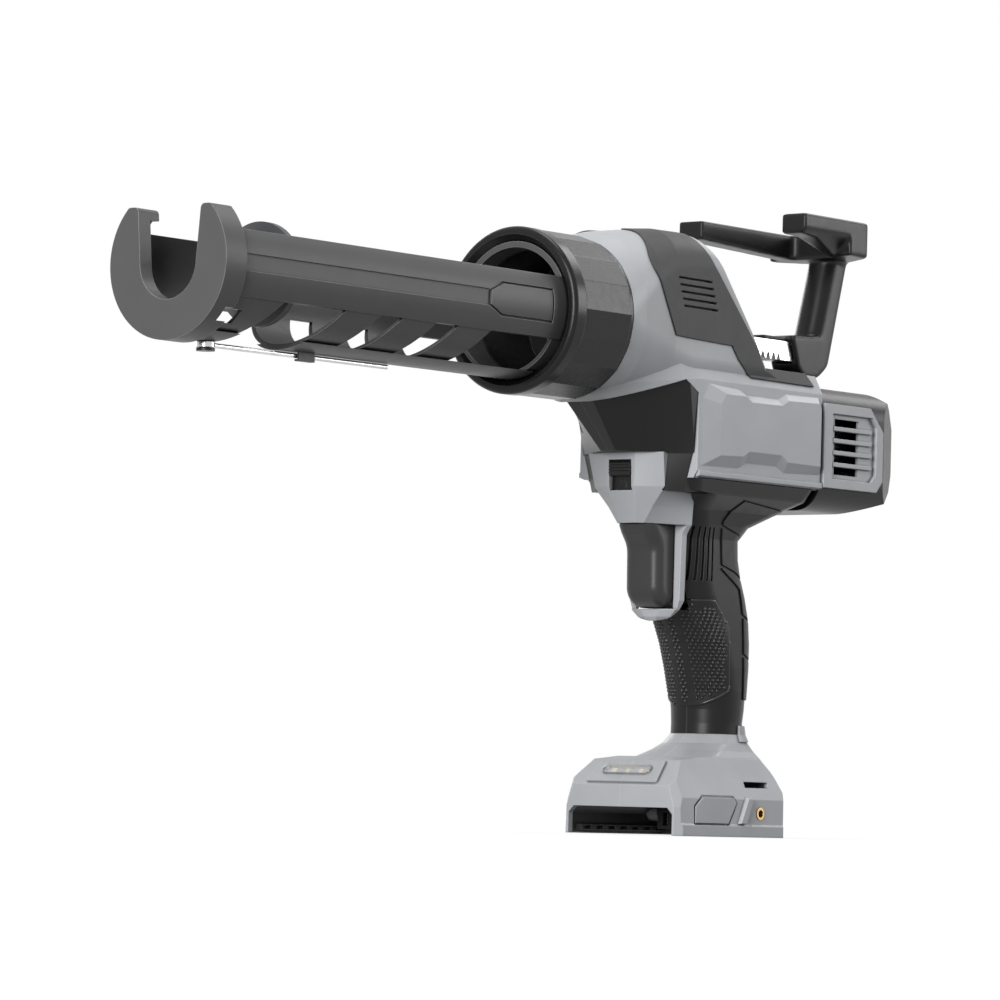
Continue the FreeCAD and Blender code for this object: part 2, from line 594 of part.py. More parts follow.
for rib_x in (2.0, 14.0):
    left_rib = box(rib_x, rib_x + 2.0, -40.0, -SWITCH_HALF, 97.0, 122.5).common(handle_form(-WALL / 2))
    handle_shell = handle_shell.fuse(left_rib).fuse(mirrored(left_rib))
handle_shell = with_bosses(handle_shell, handle_outer.cut(bezel_outer).cut(grip).cut(pad), HANDLE_SCREWS)
keep("left_handle_shell", left_half(handle_shell))
keep("right_handle_shell", right_half(handle_shell))
all_screws = BODY_SCREWS + HANDLE_SCREWS
keep("housing_screws", Part.makeCompound([screw_at(*s) for s in all_screws]))

# Trigger: a rounded finger face on a stem that slides into the switch
trigger_line = [(-35.0, TRIGGER_TOP), (-32.6, TRIGGER_TOP - 4.4, 3.0), (-28.6, TRIGGER_TOP - 9.6, 8.0),
                (-28.0, TRIGGER_LOW, 9.0), (-12.0, TRIGGER_LOW), (-12.0, TRIGGER_TOP)]
trigger = prism_xz(trigger_line, -TRIGGER_HALF, TRIGGER_HALF)
front_edges = []
for edge in trigger.Edges:
    centre = edge.CenterOfMass
    if abs(abs(centre.y) - TRIGGER_HALF) < 0.01 and -34.6 < centre.x < -17.0 and centre.z < TRIGGER_TOP - 1.0:
        front_edges.append(edge)
trigger = trigger.makeFillet(5.0, front_edges)
STEM_R = 3.0
STEM_Z = 112.0
STEM_END = 3.0
trigger = fused([trigger, rod_x(STEM_R, -14.0, STEM_END, 0.0, STEM_Z)])
keep("trigger", trigger)

# Lock slide: a ridged thumb piece in its recess
lock_line = [(LOCK_FLOOR - RUN_GAP, LOCK_TOP - LOCK_TALL), (LOCK_FLOOR - RUN_GAP, LOCK_TOP),
             (BEZEL_FRONT - 0.3, LOCK_TOP),
             (BEZEL_FRONT - 1.0, LOCK_TOP - 1.2), (BEZEL_FRONT - 1.0, LOCK_TOP - LOCK_TALL + 1.2),
             (BEZEL_FRONT - 0.3, LOCK_TOP - LOCK_TALL)]
lock = prism_xz(lock_line, -LOCK_HALF, LOCK_HALF)
LOCK_RIDGES = 3
for i in range(LOCK_RIDGES):
    ridge_z = LOCK_TOP - 1.9 - 1.3 * i
    lock = lock.cut(box(BEZEL_FRONT - 2.0, BEZEL_FRONT - 0.5, -LOCK_HALF, LOCK_HALF, ridge_z - 0.3,
                        ridge_z + 0.3))
keep("lock_slide", lock)

# Switch module in the handle, with a socket for the trigger's stem
SWITCH_FRONT = -12.0 + TRIGGER_TRAVEL + RUN_GAP
switch = box(SWITCH_FRONT, 19.5, -SWITCH_HALF, SWITCH_HALF, 98.5, 121.0)
switch = switch.cut(rod_x(STEM_R + RUN_GAP, SWITCH_FRONT - 1.0, STEM_END + TRIGGER_TRAVEL + 1.0, 0.0, STEM_Z))
keep("switch_module", switch)


# Foot form

SLOPE_LOW = (FOOT_FRONT, 20.8)
CORNER_LOW = 3.0         # cut across the front corners, near the ground
CORNER_HIGH = 10.5       # and at the top
CORNER_START = 12.0
SLOPE_HIGH = (-27.0, 31.6)


def foot_form(inset, low):
    def plan(level, corner):
        half_line = [(FOOT_FRONT + inset, FOOT_HALF - corner - inset * 0.6),
                     (FOOT_FRONT + corner + inset * 0.4, FOOT_HALF - inset),
                     (FOOT_REAR - 5.0 - inset * 0.4, FOOT_HALF - inset), (FOOT_REAR - inset,
                                                                          FOOT_HALF - 6.0 - inset * 0.6)]
        return outline(both_sides(half_line), lambda x, y: V(x, y, level))
    side = [(FOOT_FRONT + inset, low), (FOOT_FRONT + inset, SLOPE_LOW[1] - inset * 0.4),
            (SLOPE_HIGH[0] + inset * 0.4, SLOPE_HIGH[1] - inset), (-12.0, FOOT_SHOULDER - inset),
            (FOOT_REAR - 10.6 - inset, FOOT_SHOULDER - inset),
            (FOOT_REAR - 6.7 - inset, 27.8), (FOOT_REAR - 3.4 - inset, 20.0), (FOOT_REAR - 1.4 - inset,
                                                               14.0), (FOOT_REAR - 0.6 - inset, 8.0),
            (FOOT_REAR - inset, low)]
    half = [(-FOOT_HALF + inset, low), (-FOOT_HALF + inset, 4.6), (-FOOT_HALF + 0.7 + inset, 5.4),
            (-FOOT_HALF + 1.0 + inset, 16.0), (-26.5 + inset * 0.8, 25.0), (-22.0 + inset * 0.5,
                                                                            FOOT_SHOULDER - inset)]
    section = half + [(-p[0], p[1]) for p in reversed(half)]
    solid = loft([plan(low, CORNER_LOW), plan(CORNER_START, CORNER_LOW),
                  plan(FOOT_SHOULDER + 2.0, CORNER_HIGH)])
    solid = solid.common(prism_xz(side, -60.0, 60.0))
    return solid.common(prism_yz(section, -80.0, 80.0))


neck_stations = [(FOOT_SHOULDER - 5.0, -18.0, FOOT_REAR - 1.0, 23.0, 9.0),
                 (FOOT_SHOULDER, -9.0, FOOT_REAR - 0.8, 20.2, 10.5),
                 (36.4, -2.0, FOOT_REAR - 1.6, 17.8, 12.0), (39.4, 3.0, FOOT_REAR - 2.8, 16.4,
                                                             13.0), (NECK_TOP,) + NECK_END]


def neck_form(grow):
    wires = []
    for z, x0, x1, half, corner in neck_stations:
        points = [(x0 - grow, -half - grow, corner + grow), (x1 + grow, -half - grow, corner + grow),
                  (x1 + grow, half + grow, corner + grow), (x0 - grow, half + grow, corner + grow)]
        wires.append(outline(points, lambda x, y, z=z: V(x, y, z)))
    return loft(wires)


BAY_CEILING = BAY_TALL + BAY_ROOF
foot_outer = foot_form(0.0, 0.0).fuse(neck_form(0.0))


def bay_form(grow, low, x0, x1):
    half = BAY_HALF + grow
    tall = BAY_TALL + grow
    section = [(-half, low), (-half, tall - 2.8), (-half + 2.6, tall), (half - 2.6, tall),
               (half, tall - 2.8), (half, low)]
    return prism_yz(section, x0, x1)


bay = bay_form(0.0, -1.0, FOOT_FRONT - 1.0, BAY_REAR)
tray_outer = bay_form(TRAY_T, 0.4, FOOT_FRONT + BAY_FRAME, BAY_REAR + TRAY_T)
foot_room = foot_form(WALL, 0.0).fuse(neck_form(-WALL))
foot_room = foot_room.common(box(-60.0, 60.0, -60.0, 60.0, BAY_CEILING, NECK_TOP - 2.5))
foot_shell = foot_outer.cut(bay).cut(tray_outer).cut(foot_room).cut(neck_way)

# Tabs at the rear of the neck, which hug the handle
tab_room = box(23.0, 30.0, -20.0, -6.0, 40.5, 47.4)
left_tab = neck_form(1.0).fuse(handle_form(1.0)).cut(handle_form(0.02)).common(tab_room)
foot_shell = fused([foot_shell, left_tab, mirrored(left_tab)])

# Bare raised plate, ridge and slot on each side of the foot


def plate_on_side(grow):
    return [(-25.6 - grow, 5.6 - grow), (-25.6 - grow, 12.4 + grow * 0.5), (-20.6 - grow * 0.5, 16.4 + grow),
            (1.0 + grow * 0.4, 16.4 + grow), (2.9 + grow, 14.4), (-2.6 + grow, 5.6 - grow)]


PLATE_BORDER = 0.9
plate_sink = prism_xz(plate_on_side(PLATE_BORDER), -FOOT_HALF - 1.0, -FOOT_HALF + 1.7)
foot_shell = foot_shell.cut(plate_sink).cut(mirrored(plate_sink))
side_plate = prism_xz(plate_on_side(0.0), -FOOT_HALF + 0.5, -FOOT_HALF + 2.2)
side_ridge = loft([
    outline([(3.4, 5.2), (9.4, 17.2), (14.6, 16.6), (9.6, 5.2)], lambda x, z: V(x, -FOOT_HALF + 2.2, z)),
    outline([(4.8, 5.8), (10.0, 16.4), (13.2, 16.0), (8.6, 5.8)], lambda x, z: V(x, -FOOT_HALF - 0.9, z)),
])
side_slot = box(11.8, 29.0, -40.0, -20.0, 20.9, 23.4)
foot_shell = fused([foot_shell, side_plate, mirrored(side_plate), side_ridge, mirrored(side_ridge)])
foot_shell = foot_shell.cut(side_slot).cut(mirrored(side_slot))

# Brass inserts on both sides, for a belt hook
insert_face = FOOT_HALF - 0.4
insert_boss = rod_y(INSERT_R + 1.6, -insert_face, -insert_face + INSERT_DEEP + 1.0, INSERT_X, INSERT_Z)
insert_boss = insert_boss.common(foot_outer)
insert_hole = rod_y(INSERT_R, -insert_face - 3.0, -insert_face + INSERT_DEEP, INSERT_X, INSERT_Z)
foot_shell = fused([foot_shell, insert_boss, mirrored(insert_boss)])
foot_shell = foot_shell.cut(insert_hole).cut(mirrored(insert_hole))
left_insert = rod_y(INSERT_R, -insert_face, -insert_face + INSERT_DEEP, INSERT_X, INSERT_Z)
left_insert = left_insert.cut(rod_y(INSERT_HOLE_R, -insert_face - 1.0, -insert_face + INSERT_DEEP + 1.0,
                                    INSERT_X, INSERT_Z))
keep("belt_hook_inserts", Part.makeCompound([left_insert, mirrored(left_insert)]))

# Battery tray: a black lining of the bay with a pocketed rail along each side
RAIL_IN = 2.4
RAIL_LOW = 1.4
RAIL_T = 2.4
RAIL_FRONT = FOOT_FRONT + 6.0
POCKET_PITCH = 8.3
POCKET_COUNT = 7
left_rail = box(RAIL_FRONT, BAY_REAR, -BAY_HALF - 0.5, -BAY_HALF + RAIL_IN, RAIL_LOW, RAIL_LOW + RAIL_T)
for i in range(POCKET_COUNT):
    pocket_x = RAIL_FRONT + 2.0 + POCKET_PITCH * i
    left_rail = left_rail.cut(box(pocket_x, pocket_x + 5.0, -BAY_HALF + 0.6, -BAY_HALF + RAIL_IN + 1.0,
                                  RAIL_LOW + 0.5, RAIL_LOW + RAIL_T - 0.5))
tray = fused([tray_outer.cut(bay), left_rail, mirrored(left_rail)])
tray = tray.cut(insert_boss).cut(mirrored(insert_boss))
keep("battery_tray", tray)

# Work light on the sloping front of the foot
slope = V(SLOPE_HIGH[0] - SLOPE_LOW[0], 0, SLOPE_HIGH[1] - SLOPE_LOW[1])
slope.normalize()
slope_out = V(-slope.z, 0, slope.x)
slope_middle = V((SLOPE_LOW[0] + SLOPE_HIGH[0]) / 2, 0, (SLOPE_LOW[1] + SLOPE_HIGH[1]) / 2)


def on_slope(across, along, out):
    return slope_middle + V(0, across, 0) + slope * along + slope_out * out


def slope_prism(points, low, high):
    wire = outline(points, lambda a, b: on_slope(a, b, low))
    return Part.Face(wire).extrude(slope_out * (high - low))


PLINTH_PROUD = 1.2
LENS_PROUD = 1.0
LENS_DEEP = 2.0
plinth = slope_prism([(-18.8, -6.6, 1.0), (18.8, -6.6, 1.0), (16.6, 6.4, 1.0), (-16.6, 6.4, 1.0)], -1.0,
                     PLINTH_PROUD)
LENS_HALF = 12.6
LENS_TALL = 2.5
lens_line = [(-LENS_HALF, -1.0), (-LENS_HALF + 1.6, -LENS_TALL), (LENS_HALF - 1.6, -LENS_TALL),
             (LENS_HALF, -1.0),
             (LENS_HALF, 1.0), (LENS_HALF - 1.6, LENS_TALL), (-LENS_HALF + 1.6, LENS_TALL), (-LENS_HALF, 1.0)]
lens = slope_prism(lens_line, PLINTH_PROUD - LENS_DEEP, PLINTH_PROUD + LENS_PROUD)
lens_room = slope_prism(lens_line, -WALL - 2.0, PLINTH_PROUD + LENS_PROUD + 1.0)
foot_shell = fused([foot_shell, plinth]).cut(lens_room)
LED_BOARD_T = 1.6
led_board = slope_prism([(-LENS_HALF, -LENS_TALL), (LENS_HALF, -LENS_TALL), (LENS_HALF, LENS_TALL),
                         (-LENS_HALF, LENS_TALL)],
                        PLINTH_PROUD - LENS_DEEP - LED_BOARD_T, PLINTH_PROUD - LENS_DEEP)
led_board = led_board.common(lens_room)
keep("led_lens", lens)
keep("led_board", led_board)
keep("left_foot_shell", left_half(foot_shell))
keep("right_foot_shell", right_half(foot_shell))

# Battery terminals: a ribbed block under the bay's roof with brass blades in its slots
BLOCK_HALF = 16.0
BLOCK_FRONT = 9.0
BLOCK_LOW = 2.6
BLADE_COUNT = 6
BLADE_PITCH = 4.8
BLADE_T = 0.8
block = box(BLOCK_FRONT, BAY_REAR, -BLOCK_HALF, BLOCK_HALF, BLOCK_LOW, BAY_TALL)
blades = []
for i in range(BLADE_COUNT):
    blade_y = BLADE_PITCH * (i - (BLADE_COUNT - 1) / 2)
    block = block.cut(box(BLOCK_FRONT - 1.0, BAY_REAR - 4.0, blade_y - 1.3, blade_y + 1.3, BLOCK_LOW + 1.4,
                          BAY_TALL - 2.0))
    blades.append(box(BLOCK_FRONT + 2.0, BAY_REAR - 4.0, blade_y - BLADE_T / 2, blade_y + BLADE_T / 2,
                      BLOCK_LOW + 2.0, BAY_TALL - 2.6))
keep("terminal_block", block)
keep("terminal_blades", Part.makeCompound(blades))

# Control board on the roof of the bay, and two leads up to the switch
BOARD_T = 1.6
board = box(-24.0, 20.0, -15.0, 15.0, BAY_CEILING, BAY_CEILING + BOARD_T)
keep("control_board", board)
LEAD_R = 1.5
leads = [rod_z(LEAD_R, BAY_CEILING + BOARD_T, 98.5, 16.0, y) for y in (-4.0, 4.0)]
keep("power_leads", Part.makeCompound(leads))


# Cradle: nose ring with nozzle slot, side rails, raked bands, keel and rear rim

COLLAR_FRONT = BODY_FRONT - 0.5 - COLLAR_LONG
NOSE_X = COLLAR_FRONT - CRADLE_SHOWN
RIM_FRONT = COLLAR_FRONT + COLLAR_LIP + 0.3
CRADLE_END = RIM_FRONT + RIM_T
PISTON_REAR = NOSE_X + PISTON_REST


def along(s):
    return NOSE_X + s


def side_cut(points):
    return prism_xz([(along(s), AXIS_Z + z) for s, z in points], -60.0, 60.0)


tube = rod_x(CRADLE_R, NOSE_X, CRADLE_END, 0.0, AXIS_Z)
rim = rod_x(RIM_R, RIM_FRONT, CRADLE_END, 0.0, AXIS_Z)
nose = rod_x(NOSE_R, NOSE_X, NOSE_X + NOSE_T, 0.0, AXIS_Z)
bore = rod_x(CRADLE_R - CRADLE_WALL, NOSE_X + NOSE_T, CRADLE_END + 1.0, 0.0, AXIS_Z)
cradle = fused([tube, rim, nose]).cut(bore)
jaw_cut = box(NOSE_X - 1.0, NOSE_X + NOSE_T, -60.0, 60.0, AXIS_Z + JAW_TOP, AXIS_Z + 60.0)
top_cut = box(NOSE_X + NOSE_T, COLLAR_FRONT + 2.0, -60.0, 60.0, AXIS_Z + RAIL_TOP, AXIS_Z + 60.0)
cradle = cradle.cut(jaw_cut).cut(top_cut)
slot_top = SLOT_HALF + SLOT_FLARE
slot_line = [(-SLOT_HALF, AXIS_Z), (SLOT_HALF, AXIS_Z), (slot_top, AXIS_Z + 40.0), (-slot_top, AXIS_Z + 40.0)]
slot = prism_yz(slot_line, NOSE_X - 1.0, NOSE_X + NOSE_T + 1.0)
cradle = cradle.cut(slot).cut(rod_x(SLOT_HALF, NOSE_X - 1.0, NOSE_X + NOSE_T + 1.0, 0.0, AXIS_Z))
jaw_edges = []
for edge in cradle.Edges:
    centre = edge.CenterOfMass
    along_nose = abs(edge.BoundBox.XLength - NOSE_T) < 0.5 and edge.BoundBox.YLength < 0.1
    if centre.z > AXIS_Z + JAW_TOP - 0.2 and along_nose:
        jaw_edges.append(edge)
cradle = cradle.makeFillet(2.0, jaw_edges)
nose_room = rod_x(CRADLE_R - CRADLE_WALL, NOSE_X + NOSE_PLATE, NOSE_X + NOSE_T + 0.5, 0.0, AXIS_Z)
nose_room = nose_room.cut(box(NOSE_X, NOSE_X + 20.0, -60.0, 60.0, AXIS_Z + HOOK_LOW, AXIS_Z + 60.0))
side_window = box(NOSE_X + NOSE_PLATE, along(19.5), -34.0, -12.0, AXIS_Z - 22.6, AXIS_Z - 17.6)
cradle = cradle.cut(nose_room).cut(side_window).cut(mirrored(side_window))
step_ring = rod_x(CRADLE_R + 1.0, along(NOSE_T), RIM_FRONT, 0.0, AXIS_Z)
step_ring = step_ring.cut(rod_x(CRADLE_R - BAND_STEP, along(NOSE_T - 1.0), RIM_FRONT + 1.0, 0.0, AXIS_Z))
step_room = box(along(NOSE_T), RIM_FRONT, -60.0, 60.0, AXIS_Z - KEEL_DROP, AXIS_Z - RAIL_TOP)
cradle = cradle.cut(step_ring.common(step_room))
rail_z = -RAIL_TOP
deep_z = -CRADLE_R - 4.0
skirt_rake = 0.9
cradle = cradle.cut(side_cut([
    (SKIRT_END, rail_z), (BAND_FIRST, rail_z), (BAND_FIRST + BAND_RAKE * (deep_z - rail_z), deep_z),
    (SKIRT_END + skirt_rake * (deep_z - rail_z), deep_z)]))
for i in range(BAND_COUNT):
    band_end = BAND_FIRST + BAND_WIDE + BAND_PITCH * i
    next_band = BAND_FIRST + BAND_PITCH * (i + 1)
    lean = BAND_RAKE * (KEEL_DROP - RAIL_TOP)
    if i == BAND_COUNT - 1:
        window = [(band_end, rail_z), (CRADLE_SHOWN - 2.0, rail_z), (CRADLE_SHOWN - 2.0, -KEEL_DROP),
                  (band_end - lean, -KEEL_DROP)]
    else:
        window = [(band_end, rail_z), (next_band, rail_z), (next_band - lean, -KEEL_DROP),
                  (band_end - lean, -KEEL_DROP)]
    cradle = cradle.cut(side_cut(window))
plate_start = CRADLE_SHOWN - 6.0 - PLATE_LONG
groove = box(along(NOSE_T + 2.0), along(plate_start), -CRADLE_R - 1.0, -CRADLE_R + GROOVE_DEEP,
             AXIS_Z - GROOVE_HALF, AXIS_Z + GROOVE_HALF)
cradle = cradle.cut(groove).cut(mirrored(groove))


def plate_outline(inset):
    """The bare plate on each rail: a chevron front, straight sides and a square rear end."""
    front = plate_start + inset
    rear = plate_start + PLATE_LONG - inset
    half = PLATE_HALF - inset
    tip = GROOVE_HALF - inset / 2
    return [(along(front), AXIS_Z - tip), (along(front + 8.0), AXIS_Z - half), (along(rear), AXIS_Z - half),
            (along(rear), AXIS_Z + half), (along(front + 8.0), AXIS_Z + half), (along(front), AXIS_Z + tip)]


skin = rod_x(CRADLE_R + 1.0, along(plate_start), along(plate_start + PLATE_LONG), 0.0, AXIS_Z)
skin = skin.cut(rod_x(CRADLE_R - GROOVE_DEEP, along(plate_start - 1.0),
                      along(plate_start + PLATE_LONG + 1.0), 0.0, AXIS_Z))
plate_groove = skin.common(prism_xz(plate_outline(0.0), -60.0, 60.0))
plate_groove = plate_groove.cut(prism_xz(plate_outline(PLATE_GAP), -60.0, 60.0))
cradle = cradle.cut(plate_groove)

# Seal puncture wire: it turns on a rivet under the skirt and rests in a clip under the keel
KEEL_Z = AXIS_Z - CRADLE_R
RIVET_X = along(RIVET_AT)
WIRE_Z = KEEL_Z - WIRE_R - 0.3
RIVET_R = 1.6
EYE_R = RIVET_R + SHAFT_GAP + 2.0 * WIRE_R
CLIP_X = along(74.5)
eye = rod_z(EYE_R, WIRE_Z - WIRE_R, WIRE_Z + WIRE_R, RIVET_X, 0.0)
eye = eye.cut(rod_z(RIVET_R + SHAFT_GAP, WIRE_Z - 5.0, WIRE_Z + 5.0, RIVET_X, 0.0))
wire = rod_x(WIRE_R, RIVET_X + EYE_R - 1.0, RIVET_X + WIRE_LONG, 0.0, WIRE_Z)
keep("puncture_wire", fused([eye, wire]))
rivet_pad = rod_z(3.4, KEEL_Z - 0.1, KEEL_Z + CRADLE_WALL, RIVET_X, 0.0)
rivet = fused([rod_z(RIVET_R, WIRE_Z - WIRE_R - 0.3, KEEL_Z + CRADLE_WALL, RIVET_X, 0.0),
               rod_z(EYE_R, WIRE_Z - WIRE_R - 1.5, WIRE_Z - WIRE_R - 0.3, RIVET_X, 0.0)])
keep("wire_rivet", rivet)
CLIP_LONG = 9.0
clip = box(CLIP_X, CLIP_X + CLIP_LONG, -WIRE_R - 1.5, -WIRE_R - 0.3, WIRE_Z - WIRE_R - 0.3, KEEL_Z + 1.0)
clip_lip = box(CLIP_X, CLIP_X + CLIP_LONG, -WIRE_R - 1.5, 0.2, WIRE_Z - WIRE_R - 1.1, WIRE_Z - WIRE_R - 0.3)
cradle = cradle.fuse(rivet_pad).fuse(clip.fuse(clip_lip))
cradle = cradle.cut(rod_z(RIVET_R, KEEL_Z - 2.0, KEEL_Z + CRADLE_WALL + 3.0, RIVET_X, 0.0))
keep("cradle", cradle)

# Collar nut: plain front lip with a bright inner bevel, fluted grip, bore for the threaded spigot
COLLAR_REAR = COLLAR_FRONT + COLLAR_LONG
LIP_BORE = CRADLE_R + 0.4
flute_points = []
for i in range(COLLAR_FLUTES):
    turn = 2 * math.pi * (i + 0.5) / COLLAR_FLUTES
    flute_points.append((COLLAR_GRIP_R / math.cos(math.pi / COLLAR_FLUTES) * math.sin(turn),
                         AXIS_Z + COLLAR_GRIP_R / math.cos(math.pi / COLLAR_FLUTES) * math.cos(turn)))
grip_body = prism_yz(flute_points, COLLAR_FRONT + COLLAR_LIP - 1.0, COLLAR_REAR - 2.0)
lip_body = spun([(COLLAR_FRONT, 0.0), (COLLAR_FRONT, COLLAR_R, 2.2),
                 (COLLAR_FRONT + COLLAR_LIP, COLLAR_R, 1.0),
                 (COLLAR_FRONT + COLLAR_LIP, 0.0)], AXIS_Z)
rear_body = rod_x(COLLAR_GRIP_R - 0.3, COLLAR_REAR - 2.5, COLLAR_REAR, 0.0, AXIS_Z)
collar = fused([grip_body, lip_body, rear_body])
collar_room = spun([(COLLAR_FRONT - 1.0, 0.0), (COLLAR_FRONT - 1.0, LIP_BORE + 3.4),
                    (COLLAR_FRONT + 2.4, LIP_BORE),
                    (COLLAR_FRONT + COLLAR_LIP, LIP_BORE), (COLLAR_FRONT + COLLAR_LIP, RIM_R + RUN_GAP),
                    (CRADLE_END + 0.5, RIM_R + RUN_GAP), (CRADLE_END + 0.5, FLANGE_R + RUN_GAP),
                    (COLLAR_REAR + 1.0, FLANGE_R + RUN_GAP), (COLLAR_REAR + 1.0, 0.0)], AXIS_Z)
keep("collar_nut", collar.cut(collar_room))

# Nose flange: threaded spigot and back plate, clamped by the housing's front wall
SPIGOT_FRONT = CRADLE_END + RUN_GAP
PLATE_REAR = FLANGE_FACE + FLANGE_PLATE
GUIDE_R = 12.0
GUIDE_LIP = 3.0
flange = rod_x(FLANGE_R, SPIGOT_FRONT, FLANGE_FACE, 0.0, AXIS_Z)
flange = flange.cut(rod_x(FLANGE_BORE, SPIGOT_FRONT - 1.0, FLANGE_FACE, 0.0, AXIS_Z))
flange_plate = rod_x(FRONT_R - WALL - 0.6, FLANGE_FACE, PLATE_REAR, 0.0, AXIS_Z)
flange = fused([flange, flange_plate]).cut(rod_x(GUIDE_R, FLANGE_FACE - 1.0, PLATE_REAR + 1.0, 0.0, AXIS_Z))
keep("nose_flange", flange)
rack_hole = box(-300.0, 300.0, -RACK_HALF - RUN_GAP, RACK_HALF + RUN_GAP, RACK_TIP_Z - RUN_GAP,
                AXIS_Z + RACK_TOP + RUN_GAP)
front_guide = rod_x(GUIDE_R + GUIDE_LIP, FLANGE_FACE - GUIDE_LIP, FLANGE_FACE, 0.0, AXIS_Z)
front_guide = fused([front_guide, rod_x(GUIDE_R, FLANGE_FACE, PLATE_REAR, 0.0, AXIS_Z)]).cut(rack_hole)
keep("front_guide", front_guide)


# Rack rod with straight-sided teeth along its underside

PITCH = math.pi * MODULE
PITCH_Z = RACK_TIP_Z + RACK_ADDENDUM
ROOT_Z = PITCH_Z + RACK_DEDENDUM
PRESSURE = math.radians(20.0)
PINION_PITCH_R = MODULE * PINION_TEETH / 2
PINION_Z = PITCH_Z - PINION_PITCH_R
TEETH_FRONT = -252.0
TEETH_REAR = 66.0
PINION_X = TEETH_FRONT + PITCH * 58
tooth_count = int((TEETH_REAR - TEETH_FRONT) / PITCH)
half_pitch_line = (PITCH / 2 - BACKLASH) / 2
tip_half = half_pitch_line - RACK_ADDENDUM * math.tan(PRESSURE)
root_half = half_pitch_line + RACK_DEDENDUM * math.tan(PRESSURE)
rack_top_z = AXIS_Z + RACK_TOP
rack_line = [(PISTON_REAR, rack_top_z), (PISTON_REAR, RACK_TIP_Z),
             (TEETH_FRONT - PITCH / 2 - 1.0, RACK_TIP_Z),
             (TEETH_FRONT - PITCH / 2, ROOT_Z)]
for i in range(tooth_count):
    tooth_x = TEETH_FRONT + PITCH * i
    rack_line += [(tooth_x - root_half, ROOT_Z), (tooth_x - tip_half, RACK_TIP_Z),
                  (tooth_x + tip_half, RACK_TIP_Z), (tooth_x + root_half, ROOT_Z)]
last_tooth = TEETH_FRONT + PITCH * (tooth_count - 1)
rack_line += [(last_tooth + PITCH / 2, ROOT_Z), (last_tooth + PITCH / 2 + 1.0, RACK_TIP_Z),
              (RACK_REAR, RACK_TIP_Z), (RACK_REAR, rack_top_z)]
PIN_R = 1.5
PIN_X = 80.0
PIN_Z = AXIS_Z + RACK_TOP - RACK_TALL / 2
rack = prism_xz(rack_line, -RACK_HALF, RACK_HALF)
NUT_T = 3.0
rack = fused([rack, rod_x(STUD_R, PISTON_REAR - PISTON_T - 1.0, PISTON_REAR, 0.0, AXIS_Z)])
rack = rack.cut(rod_y(PIN_R, -20.0, 20.0, PIN_X, PIN_Z))
keep("rack_rod", rack)
piston_front = PISTON_REAR - PISTON_T
piston = spun([(PISTON_REAR, STUD_R), (PISTON_REAR, PISTON_R - 2.0), (PISTON_REAR - 2.0, PISTON_R),
               (PISTON_REAR - 5.0, PISTON_R),
               (piston_front + 0.8, PISTON_R - 4.0, 6.0), (piston_front, 9.0), (piston_front,
                                                                                STUD_R)], AXIS_Z)
keep("piston", piston)
nut = spun([(piston_front, STUD_R), (piston_front, 4.6), (piston_front - NUT_T + 1.0, 4.6),
            (piston_front - NUT_T, 3.4),
            (piston_front - NUT_T, 0.0), (piston_front - 1.0, 0.0), (piston_front - 1.0, STUD_R)], AXIS_Z)
keep("piston_nut", nut)

# Pull handle: a block on the rack's end, a leaning post and a two-armed fork
POST_ROUND = 6.4         # the post's front edges
POST_BACK = 3.2          # the post's rear edges
base_line = [(66.5, 219.4, 2.0), (72.0, 204.5, 3.0), (76.0, 201.2, 3.0), (86.0, 201.2, 8.0),
             (95.5, 208.0, 8.0), (99.4, 222.0),
             (109.0, GRIP_Z + 2.0), (95.0, GRIP_Z + 2.0), (85.5, 226.0, 6.0), (83.0, 219.6, 4.0)]


def post_section(z, front, rear):
    points = [(front, -POST_HALF, POST_ROUND), (rear, -POST_HALF, POST_BACK), (rear, POST_HALF, POST_BACK),
              (front, POST_HALF, POST_ROUND)]
    return outline(points, lambda x, y: V(x, y, z))


post = loft([post_section(198.0, 77.2, 92.9), post_section(GRIP_Z + 2.0, 95.0, 109.0)])
post_block = prism_xy([(60.0, -POST_HALF), (88.0, -POST_HALF), (88.0, POST_HALF), (60.0, POST_HALF)], 198.0,
                      220.0)
base = post.fuse(post_block).common(prism_xz(base_line, -POST_HALF, POST_HALF))
tongue = box(50.0, 72.0, -4.4, 4.4, rack_top_z, rack_top_z + 2.0)
FAR_TIP = 25.0
NEAR_TIP = 50.0
ARM_TALL = 10.0
NEAR_RISE = 4.4
arm_in = GRIP_HALF - ARM_WIDE
fork_plan = [(97.0, -GRIP_HALF), (NEAR_TIP, -GRIP_HALF), (NEAR_TIP, -arm_in), (91.5, -arm_in, 3.0),
             (91.5, arm_in, 3.0), (FAR_TIP, arm_in),
             (FAR_TIP, GRIP_HALF), (97.0, GRIP_HALF, 4.0), (107.0, 8.0, 6.0), (107.0, -8.0, 6.0)]
fork = prism_xy(fork_plan, GRIP_Z - 2.0, GRIP_Z + ARM_TALL + NEAR_RISE)
far_side = [(10.0, GRIP_Z + 2.4), (92.0, GRIP_Z - 1.0), (112.0, GRIP_Z - 2.0), (112.0, GRIP_Z + ARM_TALL),
            (10.0, GRIP_Z + ARM_TALL)]
near_side = [(10.0, GRIP_Z + ARM_TALL + NEAR_RISE - 7.0), (62.0, GRIP_Z + 5.0), (84.0, GRIP_Z - 1.0),
             (112.0, GRIP_Z - 2.0),
             (112.0, GRIP_Z + ARM_TALL + NEAR_RISE), (10.0, GRIP_Z + ARM_TALL + NEAR_RISE)]
fork = fused([fork.common(prism_xz(far_side, -arm_in + 2.0, 60.0)),
              fork.common(prism_xz(near_side, -60.0, -arm_in + 2.0))])
